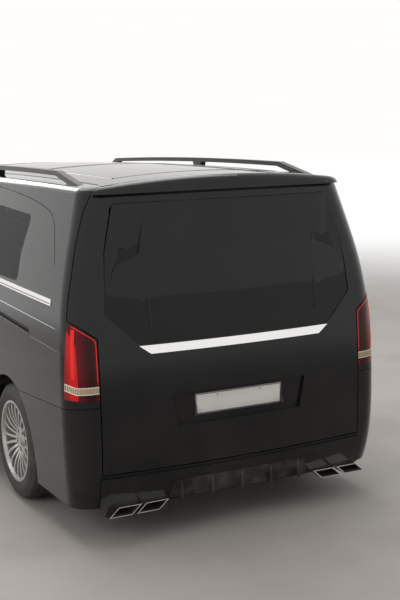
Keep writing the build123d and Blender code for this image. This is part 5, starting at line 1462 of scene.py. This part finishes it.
@dataclass
class Windscreen:
    """The printed border, the wipers, the mirror and its housing."""

    outline: tuple[Point, ...] = ((0.818, 1.118), (0.690, 1.758), (0.0, 1.794), (-0.690, 1.758), (-0.818, 1.118), (-0.40, 1.186), (0.0, 1.205), (0.40, 1.186))
    clear: tuple[Point, ...] = ((0.765, 1.185), (0.650, 1.712), (0.0, 1.735), (-0.650, 1.712), (-0.765, 1.185), (-0.38, 1.262), (0.0, 1.280), (0.38, 1.262))
    wiper_pivots: tuple[Place, ...] = ((1.690, 0.52, 1.165), (1.712, -0.10, 1.185))
    wiper_tips: tuple[Place, ...] = ((0.0, -0.16, 1.245), (0.0, -0.74, 1.215))

    def build(self, skin: Skin) -> None:
        """Build all of it."""
        outer = rounded_loop(self.outline, 0.03, run_steps=12)
        inner = rounded_loop(self.clear, 0.03, run_steps=12)
        band = band_between("windscreen_border", [(2.4, y, z) for y, z in outer], [(2.4, y, z) for y, z in inner], 3)
        rider("body", PIANO_BLACK, smooth(Face.FRONT.lay(band, skin, 0.0008, soften=False), 0.8))
        for index, (pivot, tip) in enumerate(zip(self.wiper_pivots, self.wiper_tips)):
            self.wiper(f"windscreen_wiper_{index}", pivot, tip, skin)
        self.mirror()

    def wiper(self, name: str, pivot: Place, tip: Place, skin: Skin) -> None:
        """One wiper: pivot, arm and flat blade along the glass.

        Args:
            name: the wiper's name.
            pivot: its spindle.
            tip: y and z of the blade's outer end; its x comes from the glass.
            skin: the outside, with the glass.
        """
        start, end = Vector(pivot), Vector(tip)
        points = []
        for k in range(15):
            at = start.lerp(end, k / 14)
            foot = skin.height_at((2.4, at.y, at.z), (-1, 0, 0))
            points.append(foot)
        spindle = drum("spindle", (pivot[0] - 0.004, pivot[1], pivot[2] + 0.002), (0.35, 0, 1), 0.014, 0.045, 20)
        with editing(spindle, lambda centre, normal: normal.z > 0.8):
            bpy.ops.mesh.inset(thickness=0.004, depth=0.003)
        rows = [[], [], [], []]
        for k, foot in enumerate(points):
            half = 0.0085 - 0.004 * k / 14
            lift = 0.024 - 0.010 * k / 14
            rows[0].append((foot.x + lift - 0.004, foot.y, foot.z - half))
            rows[1].append((foot.x + lift + 0.002, foot.y, foot.z - half * 0.5))
            rows[2].append((foot.x + lift + 0.002, foot.y, foot.z + half * 0.5))
            rows[3].append((foot.x + lift - 0.004, foot.y, foot.z + half))
        arm = Face.FRONT.turned(strip_of("arm", rows))
        arm = finish_with(arm, "SOLIDIFY", thickness=0.003, offset=-1.0)
        blade_rows = [[], [], []]
        for k in range(4, 15):
            foot = points[k] if k < 15 else points[-1]
            for row, (dz, lift) in zip(blade_rows, ((-0.006, 0.004), (0.0, 0.011), (0.006, 0.004))):
                row.append((foot.x + lift, foot.y, foot.z + dz - 0.012))
        blade = Face.FRONT.turned(strip_of("blade", blade_rows))
        blade = finish_with(blade, "SOLIDIFY", thickness=0.002, offset=-1.0)
        rider("body", GRAINED_BLACK, smooth(joined(name, [spindle, arm, blade])))

    def mirror(self) -> None:
        """The mirror inside, on its foot behind the glass."""
        foot = box("foot", (0.985, -0.022, 1.640), (1.055, 0.022, 1.668), 0.006)
        shell = box("cabin_mirror", (0.945, -0.122, 1.582), (0.985, 0.122, 1.648))
        with editing(shell):
            bpy.ops.mesh.subdivide(number_cuts=2)
        for vertex in shell.data.vertices:
            share = abs(vertex.co.y) / 0.122
            vertex.co.z = 1.615 + (vertex.co.z - 1.615) * (1 - 0.22 * share**2)
        shell = smooth(joined("cabin_mirror", [rounded_edges(shell, 0.008, 3), foot]))
        rider("body", CABIN_PLASTIC, shell)
        glass = box("cabin_mirror_glass", (0.9435, -0.112, 1.592), (0.9455, 0.112, 1.638), 0.0008)
        rider("body", Metal("mirror glass", (0.86, 0.88, 0.88), gloss=0.02, metal=1.0, ripple=0.0, dust=0.05), glass)


@dataclass
class RoofDetail:
    """The rubber channels beside the rails and the pressed panel lines."""

    channel_y: float = 0.660
    channel_half: float = 0.0065
    line_y: float = 0.505
    line_x: tuple[float, float] = (-2.08, 0.62)
    cross_x: tuple[float, ...] = (-2.08, -0.95, -0.90, 0.62)

    def build(self, skin: Skin) -> None:
        """Lay all of it on the roof."""
        lines = []
        for side in Side:
            ends = ((-2.24, side.value * self.channel_y), (0.80, side.value * self.channel_y))
            rider("body", SEAL_AND_SHADE_BLACK, moulding(f"roof_channel_{side.word}", fine(ends, 0.065), self.channel_half, 0.0012, Face.TOP, skin))
            ends = tuple((x, side.value * self.line_y) for x in self.line_x)
            lines.append(moulding("line", fine(ends, 0.06), 0.008, 0.003, Face.TOP, skin))
        for x in self.cross_x:
            lines.append(moulding("cross", fine(((x, -self.line_y), (x, self.line_y)), 0.045), 0.006, 0.0022, Face.TOP, skin))
        rider("body", ROOF_BLACK, smooth(joined("roof_panel_lines", lines), 1.0))


@dataclass
class HeadlampDetail:
    """Projector lenses with their rings, and daylight strips, in the headlamps."""

    projector_y: tuple[float, ...] = (0.640, 0.755)
    projector_z: float = 0.845
    strip: tuple[Point, ...] = ((0.575, 0.765), (0.700, 0.752), (0.820, 0.752), (0.868, 0.800), (0.885, 0.900))

    def build(self, skin: Skin) -> None:
        """Build the left lamp's details, and mirror them."""
        lenses, rings = [], []
        for y in self.projector_y:
            foot = skin.height_at((3.0, y, self.projector_z), (-1, 0, 0))
            lens = drum("projector", (foot.x - 0.004, foot.y, foot.z), (1, 0.18, 0), 0.030, 0.012, 40)
            with editing(lens, lambda centre, normal: normal.x > 0.9):
                bpy.ops.mesh.inset(thickness=0.006, depth=0.0022)
                bpy.ops.mesh.inset(thickness=0.008, depth=0.0016)
                bpy.ops.mesh.inset(thickness=0.008, depth=0.0008)
            lenses.append(smooth(lens, 0.9))
            ring = drum("ring", (foot.x - 0.006, foot.y, foot.z), (1, 0.18, 0), 0.036, 0.012, 40)
            with editing(ring, lambda centre, normal: normal.x > 0.9):
                bpy.ops.mesh.inset(thickness=0.005, depth=-0.002)
            rings.append(smooth(ring, 0.9))
        strip = moulding("headlamp_strip_left", fine(self.strip, 0.02), 0.006, 0.0022, Face.FRONT, skin)
        pieces = (
            (joined("headlamp_projectors_left", lenses), Glazing("projector glass", (0.9, 0.93, 0.95), gloss=0.0)),
            (joined("headlamp_rings_left", rings), REFLECTOR),
            (strip, Lens("white light strip", (0.62, 0.64, 0.66), gloss=0.12, flutes=1600.0)),
        )
        for piece, finish in pieces:
            rider("body", finish, piece, mirrored(piece, piece.name.replace("_left", "_right")), slot="lamp_clear")


@dataclass
class GrilleBars:
    """Bright edges along the grille's slats."""

    low_z: tuple[float, ...] = (0.742, 0.790, 0.838)
    height: float = 0.020
    half: float = 0.485

    def build(self) -> None:
        """A bright strip on the front of each slat."""
        node = frame["nodes"]["grille"]
        strips = []
        for low in self.low_z:
            middle = low + self.height / 2
            rows = []
            for dz, lift in ((-0.0055, 0.0), (-0.004, 0.0022), (0.004, 0.0022), (0.0055, 0.0)):
                row = []
                for k in range(41):
                    y = -self.half + 2 * self.half * k / 40
                    found, point, _, _ = node.ray_cast(Vector((3.0, y, middle + dz)), Vector((-1, 0, 0)))
                    row.append((point.x + lift - 0.0003, y, middle + dz))
                rows.append(row)
            strips.append(strip_of("strip", rows))
        bars = Face.FRONT.turned(joined("grille_bright_bars", strips))
        rider("body", CHROME, smooth(bars, 0.8), slot="bright_trim")


@dataclass
class BumperDetail:
    """Sensors in both bumpers, and fins under the rear one."""

    rear_sensors: tuple[tuple[Place, Place], ...] = (
        ((-3.2, 0.62, 0.44), (1, 0, 0)), ((-3.2, -0.62, 0.44), (1, 0, 0)),
        ((-2.75, 1.35, 0.50), (0.62, -0.78, 0)), ((-2.75, -1.35, 0.50), (0.62, 0.78, 0)),
    )
    front_sensors: tuple[tuple[Place, Place], ...] = (
        ((3.2, 0.62, 0.60), (-1, 0, 0)), ((3.2, -0.62, 0.60), (-1, 0, 0)),
        ((2.75, 1.20, 0.58), (-0.62, -0.78, 0)), ((2.75, -1.20, 0.58), (-0.62, 0.78, 0)),
    )
    fin_y: tuple[float, ...] = (-0.36, -0.18, 0.0, 0.18, 0.36)
    fin_z: tuple[float, float] = (0.196, 0.286)

    def build(self, skin: Skin) -> None:
        """Build all of it on the body."""
        for end, sensors in (("rear", self.rear_sensors), ("front", self.front_sensors)):
            for index, (place, direction) in enumerate(sensors):
                BumperSensor(f"{end}_sensor_{index}", place, direction).build(skin)
        self.fins(skin)
        self.valance(skin)

    def fins(self, skin: Skin) -> None:
        """Upright fins on the valance."""
        fins = []
        for y in self.fin_y:
            top = skin.height_at((-3.2, y, self.fin_z[1]), (1, 0, 0)).x
            low = skin.height_at((-3.2, y, self.fin_z[0] + 0.004), (1, 0, 0)).x
            fin = box("fin", (min(top, low) - 0.014, y - 0.007, self.fin_z[0]), (max(top, low) + 0.01, y + 0.007, self.fin_z[1]))
            for vertex in fin.data.vertices:
                if vertex.co.x < min(top, low) - 0.007 and vertex.co.z > 0.25:
                    vertex.co.x = top - 0.001
            fins.append(rounded_edges(fin, 0.003, 3))
        rider("body", VALANCE_BLACK, smooth(joined("rear_valance_fins", fins)))

    def valance(self, skin: Skin) -> None:
        """The grained lower panel between the tailpipes."""
        outer = rounded_loop([(-0.43, 0.196), (0.43, 0.196), (0.40, 0.300), (-0.40, 0.300)], 0.02, run_steps=16)
        inner = rounded_loop([(-0.20, 0.235), (0.20, 0.235), (0.19, 0.262), (-0.19, 0.262)], 0.008, run_steps=16)
        band = band_between("valance", [(-3.0, y, z) for y, z in outer], [(-3.0, y, z) for y, z in inner], 3)
        middle = sheet_of("valance_middle", [(-3.0, y, z) for y, z in inner])
        panel = joined("rear_valance", [band, middle])
        rider("body", VALANCE_BLACK, Face.REAR.lay(face_out(panel), skin, 0.0012, soften=False))


@dataclass
class CabinDetail:
    """Screens, vents, pedals and trim in front of the driver."""

    steering_y: float = 0.390

    def build(self) -> None:
        """Build all of it in the cabin."""
        screen = box("dash_screen", (1.046, -0.115, 0.905), (1.062, 0.115, 1.035), 0.004)
        with editing(screen, lambda centre, normal: normal.x < -0.9):
            bpy.ops.mesh.inset(thickness=0.008, depth=-0.002)
        rider("body", PIANO_BLACK, smooth(screen))
        dial_panel = box("dial_panel", (1.042, self.steering_y - 0.165, 0.985), (1.052, self.steering_y + 0.165, 1.088), 0.003)
        with editing(dial_panel, lambda centre, normal: normal.x < -0.9):
            bpy.ops.mesh.inset(thickness=0.010, depth=-0.003)
        rider("body", PIANO_BLACK, smooth(dial_panel))
        rings = []
        for y in (-0.72, -0.20, 0.20, 0.72):
            ring = drum("vent", (1.068, y, 0.985), (-1, 0, 0.12), 0.038, 0.022, 40)
            with editing(ring, lambda centre, normal: normal.x < -0.9):
                bpy.ops.mesh.inset(thickness=0.005, depth=-0.006)
            for z in (0.965, 0.985, 1.005):
                rings.append(box("slat", (1.055, y - 0.031, z - 0.0015), (1.068, y + 0.031, z + 0.0015), 0.0008))
            rings.append(smooth(ring))
        rider("body", GRAINED_BLACK, joined("dash_vents", rings))
        pedals = []
        for y, wide in ((0.33, 0.028), (0.45, 0.045)):
            pad = box("pedal", (1.155, y - wide, 0.500), (1.170, y + wide, 0.585), 0.004)
            stem = box("stem", (1.166, y - 0.008, 0.57), (1.180, y + 0.008, 0.76), 0.003)
            pedals += [pad, stem]
        rider("body", GRAINED_BLACK, joined("pedals", pedals))


@dataclass
class SeatForms:
    """One seat's padded forms, modelled once: cushion, backrest and headrest."""

    width: float = 0.47
    voxel: float = 0.009
    pressure: float = 4.0
    cap: float = 0.024

    def build(self) -> dict[str, bpy.types.Object]:
        """The three forms about the seat's own origin, facing forward."""
        half = self.width / 2
        cushion = box("cushion_form", (-0.022, -half + 0.012, 0.014), (0.486, half - 0.012, 0.130), 0.028)
        back = box("back_form", (-0.055, -half + 0.024, 0.115), (0.040, half - 0.024, 0.680), 0.026)
        for vertex in back.data.vertices:
            vertex.co.x -= (vertex.co.z - 0.115) * 0.205
        head = box("head_form", (-0.168, -0.120, 0.728), (-0.082, 0.120, 0.862), 0.026)
        forms = {"cushion": cushion, "back": back, "headrest": head}
        for name, form in forms.items():
            self.pad(form)
            self.channels(name, form)
            smooth(form, 1.0)
        return forms

    def pad(self, form: bpy.types.Object) -> None:
        """Remesh a form and swell it under pressure, each point by the cap at most."""
        finish_with(form, "REMESH", mode="VOXEL", voxel_size=self.voxel)
        before = [vertex.co.copy() for vertex in form.data.vertices]
        pick(form)
        cloth = form.modifiers.new("Cloth", "CLOTH")
        cloth.settings.use_pressure = True
        cloth.settings.uniform_pressure_force = self.pressure
        cloth.settings.effector_weights.gravity = 0.0
        cloth.point_cache.frame_start = 1
        cloth.point_cache.frame_end = 20
        scene = bpy.context.scene
        for step in range(1, 21):
            scene.frame_set(step)
        bpy.ops.object.modifier_apply(modifier=cloth.name)
        scene.frame_set(1)
        for vertex, old in zip(form.data.vertices, before):
            move = vertex.co - old
            if move.length > self.cap / 2:
                vertex.co = old + move * (self.cap / 2 / move.length)

    def channels(self, name: str, form: bpy.types.Object) -> None:
        """Press the sewn channels into the faces that are sat on."""
        half = self.width / 2
        lines = {"cushion": (half * 0.58, -half * 0.58), "back": (half * 0.56, -half * 0.56), "headrest": ()}[name]
        for vertex in form.data.vertices:
            point = vertex.co
            face_on = vertex.normal.z if name == "cushion" else vertex.normal.x
            if face_on < 0.5:
                continue
            depth = sum(0.007 * math.exp(-(((point.y - line) / 0.009) ** 2)) for line in lines)
            if abs(point.y) < half * 0.56:
                along = point.x - 0.02 if name == "cushion" else point.z - 0.16
                pitch = 0.145 if name == "cushion" else 0.125
                near = (along / pitch - round(along / pitch)) * pitch
                depth += 0.005 * math.exp(-((near / 0.009) ** 2)) if name != "headrest" else 0.0
            if name == "cushion":
                vertex.co.z -= depth
            else:
                vertex.co.x -= depth


@dataclass
class SeatRow:
    """A row of padded seats, copied from one seat's forms."""

    node: str
    hip_x: float
    places: tuple[float, ...]
    width: float
    floor_z: float = 0.655

    def build(self, forms: dict[str, bpy.types.Object], made_width: float) -> None:
        """Copy the forms to each place, with the headrest's rods and their collars."""
        for index, y in enumerate(self.places):
            for kind, form in forms.items():
                mesh = form.data.copy()
                stretch = self.width / made_width if kind != "headrest" else 1.0
                mesh.transform(Matrix.Diagonal((1, stretch, 1, 1)))
                mesh.transform(Matrix.Translation((self.hip_x, y, self.floor_z)))
                piece = bpy.data.objects.new(f"{self.node}_{kind}_{index}", mesh)
                bpy.context.collection.objects.link(piece)
                rider("body", SEAT_CLOTH, piece, slot="seat_fabric")
            rods = [drum("rod", (self.hip_x - 0.122, y + step, self.floor_z + 0.705), (-0.1, 0, 1), 0.006, 0.07, 16) for step in (-0.045, 0.045)]
            collars = [drum("collar", (self.hip_x - 0.119, y + step, self.floor_z + 0.690), (-0.1, 0, 1), 0.011, 0.012, 20) for step in (-0.045, 0.045)]
            rider("body", CHROME, smooth(joined(f"{self.node}_rods_{index}", rods)))
            rider("body", CABIN_PLASTIC, smooth(joined(f"{self.node}_collars_{index}", [rounded_edges(c, 0.002, 2) for c in collars])))
        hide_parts(self.node)


SEAT_ROWS = (
    SeatRow("front_seats", 0.300, (-0.390, 0.390), 0.520),
    SeatRow("middle_seats", -0.700, (-0.520, 0.0, 0.520), 0.470),
    SeatRow("rear_seats", -1.640, (-0.405, 0.0, 0.405), 0.395),
)


# Building in order


def build_vehicle(skin: Skin) -> None:
    """Build each sub-assembly, and report it."""
    BodyDressing().build()
    LOG.info("CAD nodes dressed")
    SideCreases().build(skin)
    LOG.info("side creases laid")
    borders = (
        GlassBorder("quarter_glass_border", "body",
                    ((-1.069, 1.293), (-1.069, 1.677), (-1.694, 1.653), (-1.652, 1.450), (-1.669, 1.293)),
                    ((-1.092, 1.312), (-1.092, 1.650), (-1.420, 1.634), (-1.375, 1.450), (-1.300, 1.312))),
        GlassBorder("sliding_glass_border", "body",
                    ((0.175, 1.293), (0.175, 1.677), (-0.945, 1.677), (-0.945, 1.293)),
                    ((0.150, 1.318), (0.150, 1.652), (-0.920, 1.652), (-0.920, 1.318))),
        GlassBorder("front_door_glass_border", "front_door",
                    ((1.150, 1.293), (0.676, 1.677), (0.333, 1.677), (0.333, 1.293)),
                    ((1.095, 1.308), (0.666, 1.656), (0.352, 1.656), (0.352, 1.308))),
    )
    for border in borders:
        border.build(skin)
    RearWindow().build(skin)
    Windscreen().build(skin)
    LOG.info("glass bordered")
    TailLampDetail().build(skin)
    HeadlampDetail().build(skin)
    GrilleBars().build()
    TailpipeDetail().build()
    LOG.info("lamps, grille and pipes detailed")
    DoorHandle("front_door_handle", "front_door", 0.415, 1.075).build(skin)
    DoorHandle("sliding_door_handle", "body", 0.150, 1.075).build(skin)
    DoorMirror().build()
    RoofDetail().build(skin)
    BumperDetail().build(skin)
    RearPlate().build()
    LOG.info("handles, mirrors, roof, bumpers and plate detailed")
    for axle in Axle:
        for side in Side:
            RoadWheel(axle, side).build()
    LOG.info("wheels built")
    CabinDetail().build()
    forms = SeatForms()
    padded = forms.build()
    for row in SEAT_ROWS:
        row.build(padded, forms.width)
    for form in padded.values():
        bpy.data.objects.remove(form)
    LOG.info("cabin built")


def main() -> None:
    """Build the scene around the CAD frame."""
    logging.basicConfig(level=logging.INFO, format="%(name)s: %(message)s")
    for name in ("Cube", "Light", "Camera"):
        if name in bpy.data.objects:
            bpy.data.objects.remove(bpy.data.objects[name])
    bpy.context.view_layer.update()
    bpy.context.scene.view_settings.view_transform = "Standard"
    Studio().build()
    outside = [
        name for name in frame["nodes"]
        if not name.endswith(("_trim", "seats", "_bases")) and "wheel" not in name and "tyre" not in name
        and "mirror" not in name and "rails" not in name
    ]
    skin = Skin(outside)
    build_vehicle(skin)
    skin.remove()


if __name__ == "__main__":
    main()
